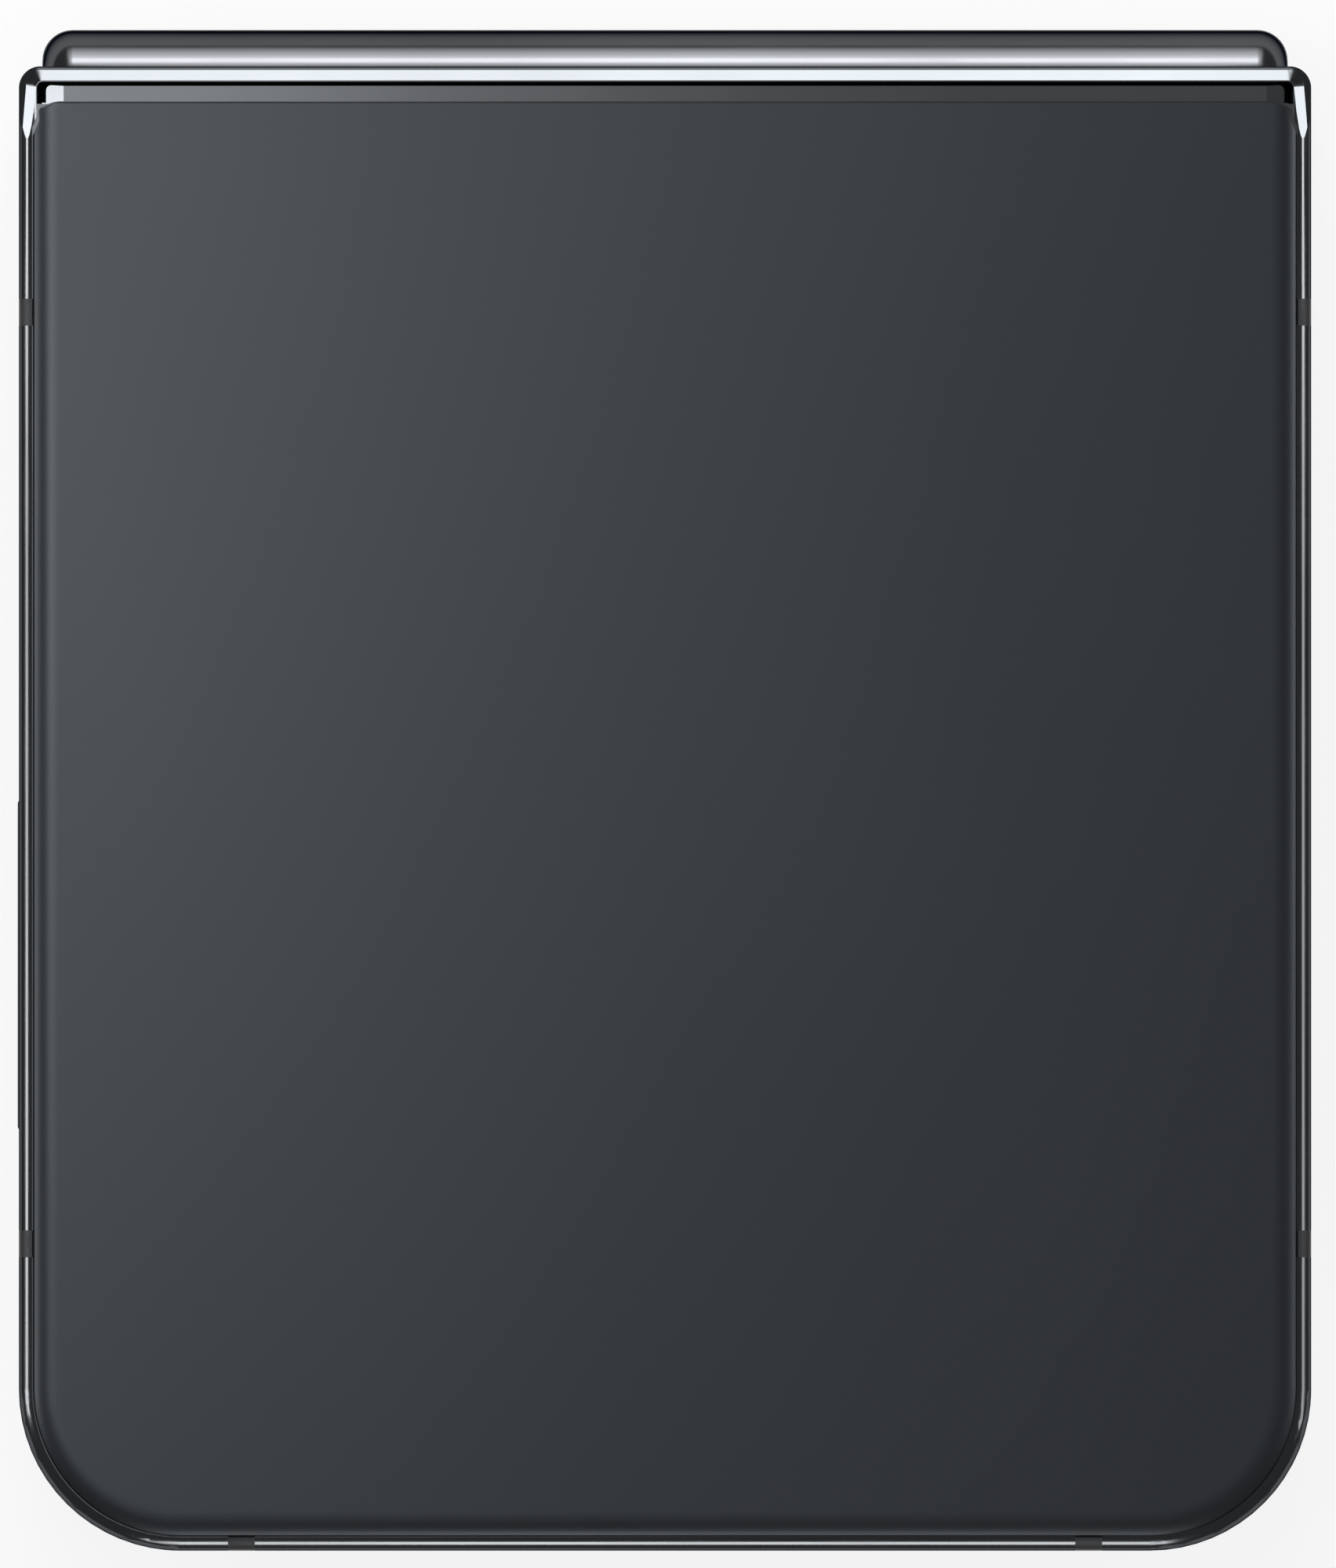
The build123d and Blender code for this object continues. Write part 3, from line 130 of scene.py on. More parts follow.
def fade_node(tree, source, stops):
    """Turns a 0 to 1 position into the brightness given by the stops."""
    ramp = tree.nodes.new("ShaderNodeValToRGB")
    elements = ramp.color_ramp.elements
    while len(elements) < len(stops):
        elements.new(0.5)
    for element, (position, level) in zip(elements, stops):
        element.position = position
        element.color = (level, level, level, 1)
    tree.links.new(source, ramp.inputs["Fac"])
    return ramp.outputs["Color"]


def fade_light(data, across, along):
    """Fades the face of a soft box along its own X and Y."""
    data.use_nodes = True
    tree = data.node_tree
    place = tree.nodes.new("ShaderNodeNewGeometry")
    split = tree.nodes.new("ShaderNodeSeparateXYZ")
    tree.links.new(place.outputs["Parametric"], split.inputs["Vector"])
    product = tree.nodes.new("ShaderNodeMath")
    product.operation = "MULTIPLY"
    tree.links.new(fade_node(tree, split.outputs["X"], across), product.inputs[0])
    tree.links.new(fade_node(tree, split.outputs["Y"], along), product.inputs[1])
    tree.links.new(product.outputs["Value"], tree.nodes["Emission"].inputs["Strength"])


def add_area(name, location, target, size, radiance, across, along):
    """A soft box whose face has the given radiance."""
    data = bpy.data.lights.new(name, "AREA")
    data.shape = "RECTANGLE"
    data.size, data.size_y = size
    data.energy = radiance * math.pi * size[0] * size[1]
    fade_light(data, across, along)
    light = bpy.data.objects.new(name, data)
    light.location = location
    direction = Vector(target) - Vector(location)
    light.rotation_euler = direction.to_track_quat("-Z", "Y").to_euler()
    light.visible_camera = False
    bpy.context.scene.collection.objects.link(light)


def add_overhead(name, centre, size, radiance, across, along):
    """A soft box that faces straight down."""
    add_area(name, centre, (centre[0], centre[1], 0), size, radiance, across, along)


def add_strip(name, side, zenith, distance, length, radiance, along, rise):
    """A long soft box that fills a band of zenith angles seen from one edge of the phone."""
    middle = math.radians(sum(zenith) / 2)
    half_band = math.radians(zenith[1] - zenith[0]) / 2
    reach = FRAME_HIGH.x if side[0] else FRAME_HIGH.y
    edge = Vector((side[0] * reach * MM, side[1] * reach * MM, GLASS_HIGH.z * MM))
    direction = Vector((side[0] * math.sin(middle), side[1] * math.sin(middle), math.cos(middle)))
    size = (length, 2 * distance * math.tan(half_band))
    add_area(name, edge + direction * distance, edge, size, radiance, along, rise)


def add_floor():
    half = FLOOR_HALF_SIZE
    corners = [(-half, -half, 0), (half, -half, 0), (half, half, 0), (-half, half, 0)]
    mesh = bpy.data.meshes.new("floor")
    mesh.from_pydata(corners, [], [(0, 1, 2, 3)])
    floor = bpy.data.objects.new("floor", mesh)
    bpy.context.scene.collection.objects.link(floor)
    material = bpy.data.materials.new("floor_white")
    material.use_nodes = True
    shader = material.node_tree.nodes["Principled BSDF"]
    shader.inputs["Base Color"].default_value = (FLOOR_WHITE, FLOOR_WHITE, FLOOR_WHITE, 1)
    shader.inputs["Roughness"].default_value = 0.9
    shader.inputs["Specular IOR Level"].default_value = 0.2
    add_floor_glow(material.node_tree, shader)
    mesh.materials.append(material)


def add_floor_glow(tree, shader):
    """Mixes plain white into the floor for the rays that look at it, so that its shadow stays."""
    path = tree.nodes.new("ShaderNodeLightPath")
    looking = path.outputs[LOOKING_RAYS[0]]
    for rays in LOOKING_RAYS[1:]:
        either = tree.nodes.new("ShaderNodeMath")
        either.operation = "MAXIMUM"
        tree.links.new(looking, either.inputs[0])
        tree.links.new(path.outputs[rays], either.inputs[1])
        looking = either.outputs["Value"]
    share = tree.nodes.new("ShaderNodeMath")
    share.operation = "MULTIPLY"
    share.inputs[1].default_value = FLOOR_GLOW
    tree.links.new(looking, share.inputs[0])
    white = tree.nodes.new("ShaderNodeEmission")
    mix = tree.nodes.new("ShaderNodeMixShader")
    tree.links.new(share.outputs["Value"], mix.inputs["Fac"])
    tree.links.new(shader.outputs["BSDF"], mix.inputs[1])
    tree.links.new(white.outputs["Emission"], mix.inputs[2])
    tree.links.new(mix.outputs["Shader"], tree.nodes["Material Output"].inputs["Surface"])


def add_world():
    world = bpy.data.worlds.new("world")
    bpy.context.scene.world = world
    world.use_nodes = True
    background = world.node_tree.nodes["Background"]
    background.inputs["Color"].default_value = (WORLD_GREY, WORLD_GREY, WORLD_GREY, 1)
    background.inputs["Strength"].default_value = 1.0


def set_stage():
    add_camera()
    add_floor()
    add_world()
    for name, settings in OVERHEADS.items():
        add_overhead(name, *settings)
    for name, settings in STRIPS.items():
        add_strip(name, *settings)
    bpy.context.scene.view_settings.view_transform = "Standard"


# ---------------------------------------------------------------- materials
WAVE_SCALE = 0.314          # scale at which a band of the wave texture is one unit wide


class Finish:
    """A Principled material whose nodes are added step by step.

    Its sockets are given by name, with an underscore for each space.
    """

    def __init__(self, name, color, roughness, **sockets):
        self.material = bpy.data.materials.new(name)
        self.material.use_nodes = True
        self.tree = self.material.node_tree
        self.shader = self.tree.nodes["Principled BSDF"]
        self.color = color
        self.shader.inputs["Base Color"].default_value = (*color, 1)
        self.shader.inputs["Roughness"].default_value = roughness
        for socket, value in sockets.items():
            self.shader.inputs[socket.replace("_", " ")].default_value = value
        self.place = self.tree.nodes.new("ShaderNodeTexCoord").outputs["Object"]
        self.normal = None

    def stretched(self, stretch):
        mapping = self.tree.nodes.new("ShaderNodeMapping")
        mapping.inputs["Scale"].default_value = stretch
        self.tree.links.new(self.place, mapping.inputs["Vector"])
        return mapping.outputs["Vector"]

    def noise(self, size, detail=4.0, stretch=(1, 1, 1)):
        """Noise whose features are about size millimetres across."""
        noise = self.tree.nodes.new("ShaderNodeTexNoise")
        noise.inputs["Scale"].default_value = 1 / (size * MM)
        noise.inputs["Detail"].default_value = detail
        self.tree.links.new(self.stretched(stretch), noise.inputs["Vector"])
        return noise.outputs["Fac"]

    def cells(self, size, feature="F1", randomness=1.0):
        """Cells about size millimetres across, in square rows where the randomness is 0."""
        cells = self.tree.nodes.new("ShaderNodeTexVoronoi")
        cells.feature = feature
        cells.inputs["Scale"].default_value = 1 / (size * MM)
        cells.inputs["Randomness"].default_value = randomness
        self.tree.links.new(self.place, cells.inputs["Vector"])
        return cells.outputs["Distance"]

    def bands(self, size, direction):
        """Straight bands, one every size millimetres along the direction."""
        wave = self.tree.nodes.new("ShaderNodeTexWave")
        wave.bands_direction = direction
        wave.inputs["Scale"].default_value = WAVE_SCALE / (size * MM)
        self.tree.links.new(self.place, wave.inputs["Vector"])
        return wave.outputs["Fac"]

    def arithmetic(self, operation, first, second=None):
        """Joins two values, each a socket or a number."""
        node = self.tree.nodes.new("ShaderNodeMath")
        node.operation = operation
        for value, socket in zip((first, second), node.inputs):
            if isinstance(value, float):
                socket.default_value = value
            elif value is not None:
                self.tree.links.new(value, socket)
        return node.outputs["Value"]

    def beyond(self, axis, middle, half):
        """How far a point lies past half a width from a middle, in metres; negative inside it."""
        split = self.tree.nodes.new("ShaderNodeSeparateXYZ")
        self.tree.links.new(self.place, split.inputs["Vector"])
        offset = self.arithmetic("SUBTRACT", split.outputs[axis], middle * MM)
        return self.arithmetic("SUBTRACT", self.arithmetic("ABSOLUTE", offset), half * MM)

    def remapped(self, source, low, high, start=0.3, end=0.7):
        remap = self.tree.nodes.new("ShaderNodeMapRange")
        remap.inputs["From Min"].default_value = start
        remap.inputs["From Max"].default_value = end
        remap.inputs["To Min"].default_value = low
        remap.inputs["To Max"].default_value = high
        self.tree.links.new(source, remap.inputs["Value"])
        return remap.outputs["Result"]

    def vary_roughness(self, source, low, high, start=0.3, end=0.7):
        self.tree.links.new(self.remapped(source, low, high, start, end), self.shader.inputs["Roughness"])
        return self

    def vary_color(self, source, other, start=0.3, end=0.7):
        """Mixes from the present colour to the other one as the source goes from start to end."""
        mix = self.tree.nodes.new("ShaderNodeMix")
        mix.data_type = "RGBA"
        first, second, result = mix.inputs[6], mix.inputs[7], mix.outputs[2]
        base = self.shader.inputs["Base Color"]
        if base.is_linked:
            self.tree.links.new(base.links[0].from_socket, first)
        else:
            first.default_value = (*self.color, 1)
        second.default_value = (*other, 1)
        self.tree.links.new(self.remapped(source, 0, 1, start, end), mix.inputs[0])
        self.tree.links.new(result, base)
        return self

    def bump(self, source, height):
        """Relief of the given height in millimetres, added to what is there."""
        bump = self.tree.nodes.new("ShaderNodeBump")
        bump.inputs["Strength"].default_value = 1.0
        bump.inputs["Distance"].default_value = height * MM
        self.tree.links.new(source, bump.inputs["Height"])
        if self.normal is not None:
            self.tree.links.new(self.normal, bump.inputs["Normal"])
        self.normal = bump.outputs["Normal"]
        self.tree.links.new(self.normal, self.shader.inputs["Normal"])
        return self


GRAZING_TINT = (0.2, 0.207, 0.22, 1)    # keeps the dark metal dark where it is seen edge on


def polished_metal(name, color, low, high):
    """Dark anodised metal, buffed, with faint handling marks."""
    finish = Finish(name, color, low, Metallic=1.0, Specular_Tint=GRAZING_TINT)
    finish.vary_roughness(finish.noise(7.0), low, high)
    finish.vary_color(finish.noise(18.0, 2.0), tuple(value * 0.86 for value in color))
    finish.bump(finish.noise(0.35, 3.0), 0.00012)
    return finish.material


def brushed_steel(name, color, roughness, grain=(0.02, 1, 1)):
    finish = Finish(name, color, roughness, Metallic=1.0)
    lines = finish.noise(0.08, 3.0, grain)
    finish.vary_roughness(lines, roughness * 0.75, roughness * 1.3)
    finish.vary_color(finish.noise(1.5), tuple(value * 0.72 for value in color))
    finish.bump(lines, 0.001)
    return finish.material


def satin_back_glass():
    """Etched glass over a slate coat: soft sheen, very fine grain, faint wipe marks."""
    color = (0.0042, 0.0056, 0.0073)
    finish = Finish("satin_back_glass", color, 0.33, Specular_IOR_Level=0.54,
                    Specular_Tint=(0.88, 0.95, 1.0, 1))
    finish.vary_roughness(finish.noise(26.0, 3.0, (1, 0.45, 1)), 0.31, 0.36)
    finish.vary_color(finish.noise(0.06, 2.0), (0.0066, 0.0082, 0.0099), 0.35, 0.75)
    finish.bump(finish.noise(0.12, 2.0), 0.0004)
    return finish.material


def gloss_black(name, color=(0.004, 0.004, 0.005), roughness=0.05):
    finish = Finish(name, color, roughness, Specular_IOR_Level=0.5, Coat_Weight=0.6, Coat_Roughness=0.03)
    finish.vary_roughness(finish.noise(14.0, 3.0), roughness * 0.8, roughness * 1.6)
    finish.vary_color(finish.noise(9.0, 2.0), tuple(value * 1.8 for value in color))
    return finish.material


SCREEN_EDGE_BLUR = 0.05     # the screen's edge fades over this far on each side


def cover_glass_over_screen():
    """Gloss glass, black round the outer screen and a little lighter where the screen shows through."""
    finish = Finish("cover_glass", (0.0095, 0.0105, 0.0135), 0.05, Specular_IOR_Level=0.5,
                    Coat_Weight=0.6, Coat_Roughness=0.03)
    low, high = (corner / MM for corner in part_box("cover_display"))
    past_side = finish.beyond("X", (low.x + high.x) / 2, (high.x - low.x) / 2)
    past_end = finish.beyond("Y", (low.y + high.y) / 2, (high.y - low.y) / 2)
    past_screen = finish.arithmetic("MAXIMUM", past_side, past_end)
    finish.vary_color(finish.cells(0.1, randomness=0.0), (0.0065, 0.007, 0.0095))
    finish.vary_color(past_screen, (0.0022, 0.0022, 0.0026), -SCREEN_EDGE_BLUR * MM, SCREEN_EDGE_BLUR * MM)
    finish.vary_roughness(finish.noise(14.0, 3.0), 0.04, 0.08)
    return finish.material


def folding_film():
    """Soft top film of the folding screen over a dark panel."""
    finish = Finish("folding_film", (0.0045, 0.0045, 0.0055), 0.10, Specular_IOR_Level=0.5,
                    Coat_Weight=0.5, Coat_Roughness=0.06)
    finish.vary_roughness(finish.noise(11.0, 3.0), 0.08, 0.13)
    finish.vary_color(finish.cells(0.09, randomness=0.0), (0.009, 0.009, 0.011))
    finish.bump(finish.noise(4.0, 2.0), 0.0009)
    return finish.material


def moulded(name, color, roughness, grain=0.12, relief=0.0025):
    """Fine-textured plastic."""
    finish = Finish(name, color, roughness, Specular_IOR_Level=0.4)
    texture = finish.noise(grain, 3.0)
    finish.vary_roughness(texture, roughness * 0.85, min(roughness * 1.15, 1.0))
    finish.vary_color(finish.noise(3.0), tuple(value * 1.35 for value in color))
    finish.bump(texture, relief)
    return finish.material


def circuit_board():
    """Dark green mask with raised tracks and small pads."""
    finish = Finish("circuit_board", (0.008, 0.035, 0.024), 0.4)
    tracks = finish.cells(0.9, "DISTANCE_TO_EDGE", 0.35)
    finish.vary_color(tracks, (0.018, 0.075, 0.05), 0.04, 0.07)
    finish.vary_color(finish.cells(1.3, "F1", 0.1), (0.62, 0.5, 0.28), 0.14, 0.1)
    finish.vary_roughness(finish.noise(0.6), 0.3, 0.5)
    finish.bump(tracks, 0.02)
    return finish.material


def battery_wrap():
    finish = Finish("battery_wrap", (0.018, 0.018, 0.02), 0.34, Specular_IOR_Level=0.5)
    creases = finish.noise(2.4, 5.0, (0.3, 1, 1))
    finish.vary_roughness(creases, 0.26, 0.46)
    finish.vary_color(finish.noise(6.0), (0.032, 0.032, 0.036))
    finish.bump(creases, 0.03)
    return finish.material


def enamelled_copper():
    finish = Finish("enamelled_copper", (0.62, 0.26, 0.12), 0.28, Metallic=1.0)
    strands = finish.noise(0.1, 2.0)
    finish.vary_color(finish.noise(1.2), (0.42, 0.15, 0.07))
    finish.vary_roughness(strands, 0.22, 0.38)
    finish.bump(strands, 0.006)
    return finish.material


def polyimide():
    """Amber flexible film with copper tracks under it."""
    finish = Finish("polyimide", (0.16, 0.065, 0.014), 0.3, Specular_IOR_Level=0.5)
    tracks = finish.bands(0.5, "X")
    finish.vary_color(tracks, (0.34, 0.14, 0.035), 0.55, 0.65)
    finish.vary_roughness(finish.noise(0.8), 0.24, 0.38)
    finish.bump(tracks, 0.008)
    return finish.material


def fine_mesh():
    """Woven screen behind the speaker slots."""
    finish = Finish("fine_mesh", (0.03, 0.03, 0.032), 0.45, Metallic=0.8)
    for direction in ("X", "Z"):
        threads = finish.bands(0.12, direction)
        finish.vary_color(threads, (0.004, 0.004, 0.004), 0.35, 0.2)
        finish.bump(threads, 0.02)
    finish.vary_roughness(finish.noise(0.4), 0.38, 0.55)
    return finish.material


# radius in millimetres where each ring seen in a camera starts, and its colour
LENS_RINGS = ((1.7, (0.09, 0.092, 0.098)), (1.95, (0.003, 0.003, 0.004)), (2.7, (0.03, 0.03, 0.033)),
              (2.85, (0.0025, 0.0025, 0.003)), (4.1, (0.018, 0.018, 0.02)))
LENS_RING_BLUR = 0.06


def lens_glass():
    """Coated lens covers: a tinted middle with the rings of the lens barrel round it."""
    finish = Finish("lens_glass", (0.010, 0.008, 0.022), 0.03, Specular_IOR_Level=0.6,
                    Coat_Weight=1.0, Coat_Roughness=0.01, Coat_Tint=(0.72, 0.8, 1.0, 1))
    low, high = (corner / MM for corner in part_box("camera_lens_covers"))
    radius = (high.y - low.y) / 2
    across = finish.beyond("X", (low.x + high.x) / 2, (high.x - low.x) / 2 - radius)
    along = finish.beyond("Y", (low.y + high.y) / 2, 0.0)
    squares = [finish.arithmetic("MULTIPLY", part, part) for part in (across, along)]
    distance = finish.arithmetic("SQRT", finish.arithmetic("ADD", *squares))
    finish.vary_color(finish.noise(3.0, 1.0), (0.006, 0.012, 0.018))
    for start, color in LENS_RINGS:
        finish.vary_color(distance, color, start * MM, (start + LENS_RING_BLUR) * MM)
    finish.vary_roughness(finish.noise(5.0), 0.02, 0.045)
    return finish.material


def flash_window():
    """Frosted warm diffuser with a fine lens pattern."""
    finish = Finish("flash_window", (0.78, 0.72, 0.52), 0.3, Specular_IOR_Level=0.6, Coat_Weight=0.5)
    facets = finish.cells(0.35, "F1", 0.2)
    finish.vary_color(facets, (0.88, 0.84, 0.7), 0.1, 0.5)
    finish.vary_roughness(facets, 0.22, 0.4, 0.1, 0.5)
    finish.bump(facets, 0.03)
    return finish.material


SLATE = (0.082, 0.086, 0.092)       # anodised metal of the small parts


def make_materials():
    """One material for each slot of the record."""
    return {
        "frame_metal": polished_metal("frame_metal", (0.089, 0.094, 0.099), 0.11, 0.16),
        "spine_metal": polished_metal("spine_metal", (0.098, 0.101, 0.107), 0.15, 0.20),
        "ring_metal": polished_metal("ring_metal", SLATE, 0.10, 0.16),
        "key_metal": polished_metal("key_metal", SLATE, 0.2, 0.28),
        "back_glass": satin_back_glass(),
        "cover_glass": cover_glass_over_screen(),
        "lens_glass": lens_glass(),
        "screen_panel": gloss_black("screen_panel", (0.006, 0.006, 0.008), 0.12),
        "folding_display": folding_film(),
        "module_black": moulded("module_black", (0.014, 0.014, 0.015), 0.5),
        "flash_plastic": flash_window(),
        "circuit_board": circuit_board(),
        "plated_steel": brushed_steel("plated_steel", (0.52, 0.52, 0.50), 0.32),
        "battery_pack": battery_wrap(),
        "flex_film": polyimide(),
        "bezel_plastic": moulded("bezel_plastic", (0.012, 0.012, 0.013), 0.42),
        "antenna_plastic": moulded("antenna_plastic", (0.016, 0.017, 0.019), 0.4, 0.2, 0.001),
        "hinge_steel": brushed_steel("hinge_steel", (0.42, 0.42, 0.41), 0.28),
        "screw_steel": brushed_steel("screw_steel", (0.25, 0.25, 0.26), 0.35, (1, 1, 1)),
        "magnet": brushed_steel("magnet", (0.55, 0.54, 0.51), 0.22),
        "copper": enamelled_copper(),
        "ferrite": moulded("ferrite", (0.04, 0.04, 0.042), 0.7, 0.3, 0.01),
        "mesh_black": fine_mesh(),
    }


def paint_nodes(materials):
    """Every construction node takes the material of its slot in the record."""
    for subpart in frame["record"]["subparts"]:
        mesh = nodes[subpart["node"]].data
        mesh.materials.clear()
        mesh.materials.append(materials[subpart["material_slot"]])


# ---------------------------------------------------------------- mesh helpers
def new_piece(name, mesh, slot, materials):
    """Links a finished bmesh as a piece with the slot's material."""
    data = bpy.data.meshes.new(name)
    bmesh.ops.recalc_face_normals(mesh, faces=mesh.faces)
    mesh.to_mesh(data)
    mesh.free()
    data.materials.append(materials[slot])
    piece = bpy.data.objects.new(name, data)
    bpy.context.scene.collection.objects.link(piece)
    return piece


def smooth_below(piece, degrees):
    """Smooth shading with edges sharper than the angle kept crisp."""
    piece.data.shade_smooth()
    piece.data.set_sharp_from_angle(angle=math.radians(degrees))


def ring_of(mesh, points, height):
    """New vertices at the points, all at one height."""
    return [mesh.verts.new((x * MM, y * MM, height * MM)) for x, y in points]


def join_rings(mesh, first, second):
    """A closed wall between two rings of as many vertices."""
    for index in range(len(first)):
        after = (index + 1) % len(first)
        mesh.faces.new((first[index], first[after], second[after], second[index]))


def fill_loops(mesh, *loops):
    """Fills the flat area between an outer loop and any holes in it."""
    edges = []
    for loop in loops:
        for index, vertex in enumerate(loop):
            after = loop[(index + 1) % len(loop)]
            edges.append(mesh.edges.get((vertex, after)) or mesh.edges.new((vertex, after)))
    bmesh.ops.triangle_fill(mesh, use_beauty=True, use_dissolve=False, edges=edges)


def arc_points(centre, radius, start, end, count):
    """Points on an arc, angles in degrees."""
    points = []
    for index in range(count + 1):
        angle = math.radians(start + (end - start) * index / count)
        points.append((centre[0] + radius * math.cos(angle), centre[1] + radius * math.sin(angle)))
    return points


CIRCLE_STEPS = 64


def circle_points(centre, radius, count=CIRCLE_STEPS):
    """Points round a whole circle, the first not repeated."""
    return arc_points(centre, radius, 0, 360, count)[:-1]


def spread_points(corners, spacing):
    """The closed outline with its long runs divided, at about the given spacing."""
    points = []
    for index, first in enumerate(corners):
        second = corners[(index + 1) % len(corners)]
        length = math.dist(first, second)
        steps = max(1, round(length / spacing))
        for step in range(steps):
            share = step / steps
            points.append(tuple(a + (b - a) * share for a, b in zip(first, second)))
    return points


# ---------------------------------------------------------------- back and cover glass
FAR_RADIUS = 8.26           # plan corners of the glass at the free end
CORNER_STEPS = 24
CHEEK_STEP = 0.36           # the glass is this much narrower on each side near the hinge
STEP_LENGTHS = (1.86, 1.06)  # from the glass's hinge edge to the start of the step, and to its end
STEP_EASE = 0.08            # the step's two ends are eased from this far outside them
STEP_EASE_POINT = (0.02, 0.03)      # to this far inside them, across and along
HINGE_CORNER = (0.95, 0.35)  # shallow cut corner beside the hinge, across and along
CORNER_SIDE_EASE = ((0.0, 0.15), (0.06, 0.02))      # eases the cut where it leaves the side
CORNER_END_EASE = ((0.15, 0.05), (-0.2, 0.0))       # and where it meets the hinge edge
EDGE_SPACING = 0.5
CROWN_WIDTH = 1.5           # soft edge of the glass along its sides and free end
CROWN_DROP = 0.32
CROWN_POWER = 2.6
CROWN_SHARES = (0.0, 0.03, 0.08, 0.14, 0.21, 0.29, 0.38, 0.48, 0.6, 0.74, 0.88, 1.0)
BEVEL_WIDTH = 0.07          # narrow bevel along the hinge edge
BEVEL_DROP = 0.08
GLASS_CREASE = 20           # edges sharper than this many degrees stay crisp


def glass_edge():
    """Outline of a glass: round at the free end, stepped in beside the hinge."""
    wide, far, near = GLASS_HIGH.x, GLASS_LOW.y, GLASS_HIGH.y
    narrow = wide - CHEEK_STEP
    step_start, step_end = (near - length for length in STEP_LENGTHS)
    run, drop = HINGE_CORNER
    centre = (wide - FAR_RADIUS, far + FAR_RADIUS)
    right = arc_points(centre, FAR_RADIUS, -90, 0, CORNER_STEPS)
    ease_x, ease_y = STEP_EASE_POINT
    right += [(wide, step_start - STEP_EASE), (wide - ease_x, step_start + ease_y)]
    right += [(narrow + ease_x, step_end - ease_y), (narrow, step_end + STEP_EASE)]
    right += [(narrow - inward, near - drop - below) for inward, below in CORNER_SIDE_EASE]
    right += [(narrow - run + outward, near - below) for outward, below in CORNER_END_EASE]
    left = [(-x, y) for x, y in reversed(right)]
    return spread_points(right + left, EDGE_SPACING)


def past_flat(x, y):
    """Offset of a point from the rounded core of the flat middle, and the core's radius there."""
    radius = FAR_RADIUS - CROWN_WIDTH
    half = GLASS_HIGH.x - CROWN_WIDTH - radius
    core_x = min(max(x, -half), half)
    core_y = max(y, GLASS_LOW.y + FAR_RADIUS)
    return Vector((x - core_x, y - core_y)), radius


def flat_point(x, y):
    """Where a point of the outline ends on the flat middle of the glass."""
    offset, radius = past_flat(x, y)
    if offset.length > radius:
        inward = offset - offset.normalized() * radius
        x, y = x - inward.x, y - inward.y
    return (x, min(y, GLASS_HIGH.y - BEVEL_WIDTH))


def glass_drop(x, y):
    """How far the face of the glass lies below its flat middle."""
    offset, radius = past_flat(x, y)
    crown = CROWN_DROP * (max(offset.length - radius, 0) / CROWN_WIDTH) ** CROWN_POWER
    bevel = BEVEL_DROP * max(1 - (GLASS_HIGH.y - y) / BEVEL_WIDTH, 0)
    return crown + bevel


def glass_mesh(sign, face_z, inner_z, holes=()):
    """Closed glass panel; sign is +1 where its crown faces up."""
    mesh = bmesh.new()
    edge = glass_edge()
    middle = [flat_point(*point) for point in edge]
    bottom = ring_of(mesh, edge, inner_z)
    last = bottom
    for share in CROWN_SHARES:
        points = [tuple(a + (b - a) * share for a, b in zip(p, q)) for p, q in zip(edge, middle)]
        ring = [mesh.verts.new((x * MM, y * MM, (face_z - sign * glass_drop(x, y)) * MM)) for x, y in points]
        join_rings(mesh, last, ring)
        last = ring
    top_holes, bottom_holes = [], []
    for centre, radius in holes:
        circle = circle_points(centre, radius)
        top_holes.append(ring_of(mesh, circle, face_z))
        bottom_holes.append(ring_of(mesh, circle, inner_z))
        join_rings(mesh, top_holes[-1], bottom_holes[-1])
    fill_loops(mesh, last, *top_holes)
    fill_loops(mesh, bottom, *bottom_holes)
    return mesh


def add_back_glass(materials):
    mesh = glass_mesh(1, GLASS_HIGH.z, GLASS_LOW.z)
    piece = new_piece("back_glass_panel", mesh, "back_glass", materials)
    smooth_below(piece, GLASS_CREASE)
    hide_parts("back_glass")
    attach(piece, "base_half")


# flash window; depths are counted from the face of the cover glass
FLASH_GAP = 0.05            # between the window and the glass
FLASH_RIDGES = 5
FLASH_RIDGE_HEIGHT = 0.05
FLASH_RIDGE_RUN = 0.04      # run of a ridge's steep side
FLASH_TIP_DEPTH = 0.02
FLASH_MIDDLE = 0.12         # radius of the flat middle
FLASH_PLAIN = 0.2           # part of the radius that has no ridges
FLASH_RIM = ((0.02, 0.03), (0.0, 0.06))     # its rounded rim: distance from the edge, and depth
FLASH_LENS_GAP = 0.02       # between the window and the lens behind it
FLASH_CREASE = 25


def turned_mesh(centre, profile):
    """Solid of revolution about a vertical line; the profile lists radii and heights."""
    mesh = bmesh.new()
    rings = []
    for radius, height in profile:
        rings.append(ring_of(mesh, circle_points(centre, radius), height))
    for first, second in zip(rings, rings[1:]):
        join_rings(mesh, first, second)
    for end in (rings[0], rings[-1]):
        mesh.faces.new(end)
    return mesh


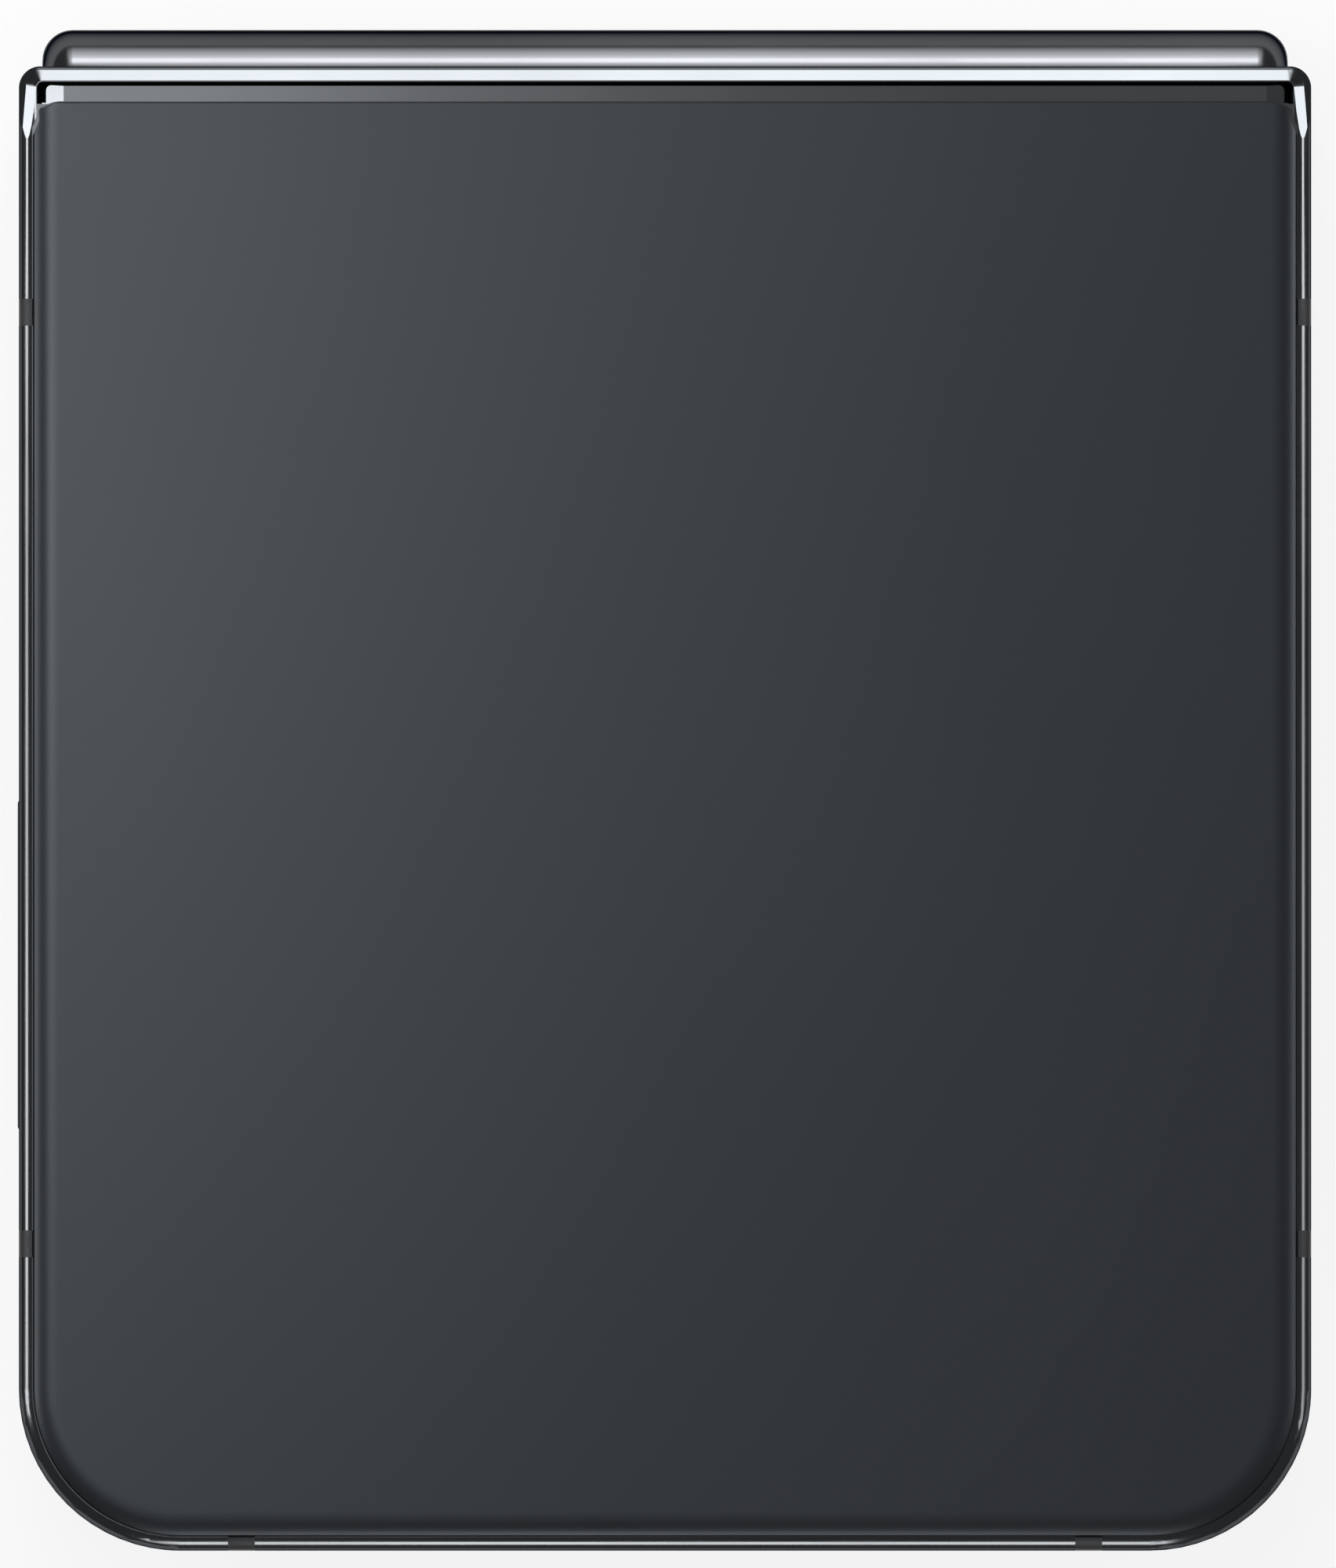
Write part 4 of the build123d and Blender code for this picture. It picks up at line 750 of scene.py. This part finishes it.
def add_flash_front(centre, radius, face_z, inner_z, materials):
    """Window of the flash, level with the glass, with concentric saw-tooth ridges."""
    tip_z = face_z + FLASH_TIP_DEPTH
    profile = [(FLASH_MIDDLE, tip_z)]
    pitch = (radius - FLASH_PLAIN) / FLASH_RIDGES
    for ridge in range(FLASH_RIDGES):
        start = FLASH_MIDDLE + ridge * pitch
        profile.append((start + FLASH_RIDGE_RUN, tip_z + FLASH_RIDGE_HEIGHT))
        profile.append((start + pitch, tip_z))
    profile += [(radius - inset, face_z + depth) for inset, depth in FLASH_RIM]
    profile.append((radius, inner_z - FLASH_LENS_GAP))
    piece = new_piece("flash_front", turned_mesh(centre, profile), "flash_plastic", materials)
    smooth_below(piece, FLASH_CREASE)
    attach(piece, "cover_half")


RING_OVERLAP = 0.3          # the camera rings cover the edges of their holes by this much


def add_cover_glass(materials):
    low, high = (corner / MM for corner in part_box("cover_glass"))
    rings_low, rings_high = (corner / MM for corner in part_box("camera_rings"))
    radius = (rings_high.y - rings_low.y) / 2
    camera_y = (rings_high.y + rings_low.y) / 2
    hole = radius - RING_OVERLAP
    holes = [((x, camera_y), hole) for x in (rings_low.x + radius, rings_high.x - radius)]
    flash_low, flash_high = (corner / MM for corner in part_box("flash_lens"))
    flash_centre = ((flash_low.x + flash_high.x) / 2, (flash_low.y + flash_high.y) / 2)
    flash_radius = (flash_high.x - flash_low.x) / 2
    holes.append((flash_centre, flash_radius + FLASH_GAP))
    add_flash_front(flash_centre, flash_radius, low.z, flash_low.z, materials)
    mesh = glass_mesh(-1, low.z, high.z, holes)
    piece = new_piece("cover_glass_panel", mesh, "cover_glass", materials)
    smooth_below(piece, GLASS_CREASE)
    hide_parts("cover_glass")
    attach(piece, "cover_half")


# ---------------------------------------------------------------- folding screen and hinge cable
SCREEN_DEPTH = SCREEN_HIGH.z - COVER_AXIS.z     # screen face above the fold axis when unfolded
BEND_START = -2.8           # where the bend starts, from the fold axis
BEND_GRID_START = -3.4
BEND_GRID_STEPS = 48
BEND_HALVINGS = 40          # enough for about twelve digits of a weight
SCREEN_CORNER = 7.7
SCREEN_SPACING = 3.0
SELFIE_HOLE = 1.7
SELFIE_OFFSET = 0.5         # from the camera's edge to the edge of its hole
SELFIE_STEPS = 48
SHEET_CREASE = 40


def smoothstep(value):
    value = min(max(value, 0.0), 1.0)
    return value * value * (3 - 2 * value)


def bent_place(along, depth):
    """Closed place of a sheet point that lies at (along, depth) from the cover's fold axis when unfolded.
    """
    low, high = 0.0, 1.0
    for _ in range(BEND_HALVINGS):
        weight = (low + high) / 2
        turn = weight * math.pi / 2
        y = along * math.cos(turn) - depth * math.sin(turn)
        z = along * math.sin(turn) + depth * math.cos(turn)
        reach = (y - BEND_START) * -BEND_START + z * AXIS_TO_MIDDLE
        share = reach / (BEND_START ** 2 + AXIS_TO_MIDDLE ** 2)
        if smoothstep(share) > weight:
            low = weight
        else:
            high = weight
    return y, z


def bend_rows(start, depth):
    """Closed places down the bend, from the given start to the plane between the halves."""
    rows = []
    for index in range(BEND_GRID_STEPS + 1):
        along = start + (AXIS_TO_MIDDLE - start) * index / BEND_GRID_STEPS
        y, z = bent_place(along, depth)
        rows.append((COVER_AXIS.y + y, COVER_AXIS.z + z))
    return rows


def strip_mesh(mesh, half_width, start, depths):
    """Closed bent sheet between two depths."""
    faces = []
    for depth in depths:
        rows = []
        for y, z in bend_rows(start, depth):
            rows.append([mesh.verts.new((side * half_width * MM, y * MM, z * MM)) for side in (-1, 1)])
        faces.append(rows)
    for rows in faces:
        for first, second in zip(rows, rows[1:]):
            mesh.faces.new((first[0], first[1], second[1], second[0]))
    front, back = faces
    for side in (0, 1):
        for index in range(BEND_GRID_STEPS):
            corners = (front[index][side], front[index + 1][side], back[index + 1][side], back[index][side])
            mesh.faces.new(corners)
    for end in (-1, 0):
        mesh.faces.new((*front[end], *reversed(back[end])))


def screen_panel(mesh, holes):
    """Flat part of the folding screen in the cover half."""
    half, far, near = SCREEN_HIGH.x, SCREEN_LOW.y, COVER_AXIS.y + BEND_GRID_START
    right = arc_points((half - SCREEN_CORNER, far + SCREEN_CORNER), SCREEN_CORNER, -90, 0, CORNER_STEPS)
    right += [(half, near)]
    outline = spread_points(right + [(-x, y) for x, y in reversed(right)], SCREEN_SPACING)
    loops = [outline]
    if holes:
        camera_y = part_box("selfie_camera")[0].y / MM + SELFIE_HOLE + SELFIE_OFFSET
        loops.append(circle_points((0, camera_y), SELFIE_HOLE, SELFIE_STEPS))
    rings = []
    for height in (SCREEN_HIGH.z, SCREEN_LOW.z):
        rings.append([ring_of(mesh, loop, height) for loop in loops])
        fill_loops(mesh, *rings[-1])
    for top, bottom in zip(*rings):
        join_rings(mesh, top, bottom)


def turn_over(mesh):
    """Reflects a mesh in the plane between the halves."""
    for vertex in mesh.verts:
        vertex.co.z = 2 * MIDDLE_Z * MM - vertex.co.z


def add_sheet(name, slot, materials, build, in_base, replaced):
    """A bent sheet for one half, not attached to it; the other half's is its reflection."""
    mesh = bmesh.new()
    build(mesh)
    if in_base:
        turn_over(mesh)
    piece = new_piece(name, mesh, slot, materials)
    smooth_below(piece, SHEET_CREASE)
    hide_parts(*replaced)
    if in_base:
        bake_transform(piece)
    else:
        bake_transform(piece)


def build_screen(mesh, holes):
    """One half of the folding screen: its flat part and half of the bend."""
    screen_panel(mesh, holes)
    strip_mesh(mesh, FOLD_HIGH.x, BEND_GRID_START, (SCREEN_DEPTH, -SCREEN_DEPTH))


CABLE_DEPTHS = (-0.67, -0.83)       # its two faces, above the fold axis when unfolded
CABLE_START = -2.9          # where the cable starts, from the fold axis


def build_cable(mesh):
    strip_mesh(mesh, CABLE_HIGH.x, CABLE_START, CABLE_DEPTHS)


def add_sheets(materials):
    add_sheet("screen_cover_side", "folding_display", materials,
              lambda mesh: build_screen(mesh, True), False, ("display_upper_section", "display_fold_section"))
    add_sheet("screen_base_side", "folding_display", materials,
              lambda mesh: build_screen(mesh, False), True, ("display_lower_section",))
    add_sheet("cable_cover_side", "flex_film", materials, build_cable, False, ("hinge_flex_cable",))
    add_sheet("cable_base_side", "flex_film", materials, build_cable, True, ("hinge_flex_cable",))


# ---------------------------------------------------------------- the whole scene
def main():
    set_stage()
    materials = make_materials()
    paint_nodes(materials)
    add_back_glass(materials)
    add_cover_glass(materials)
    add_sheets(materials)


main()
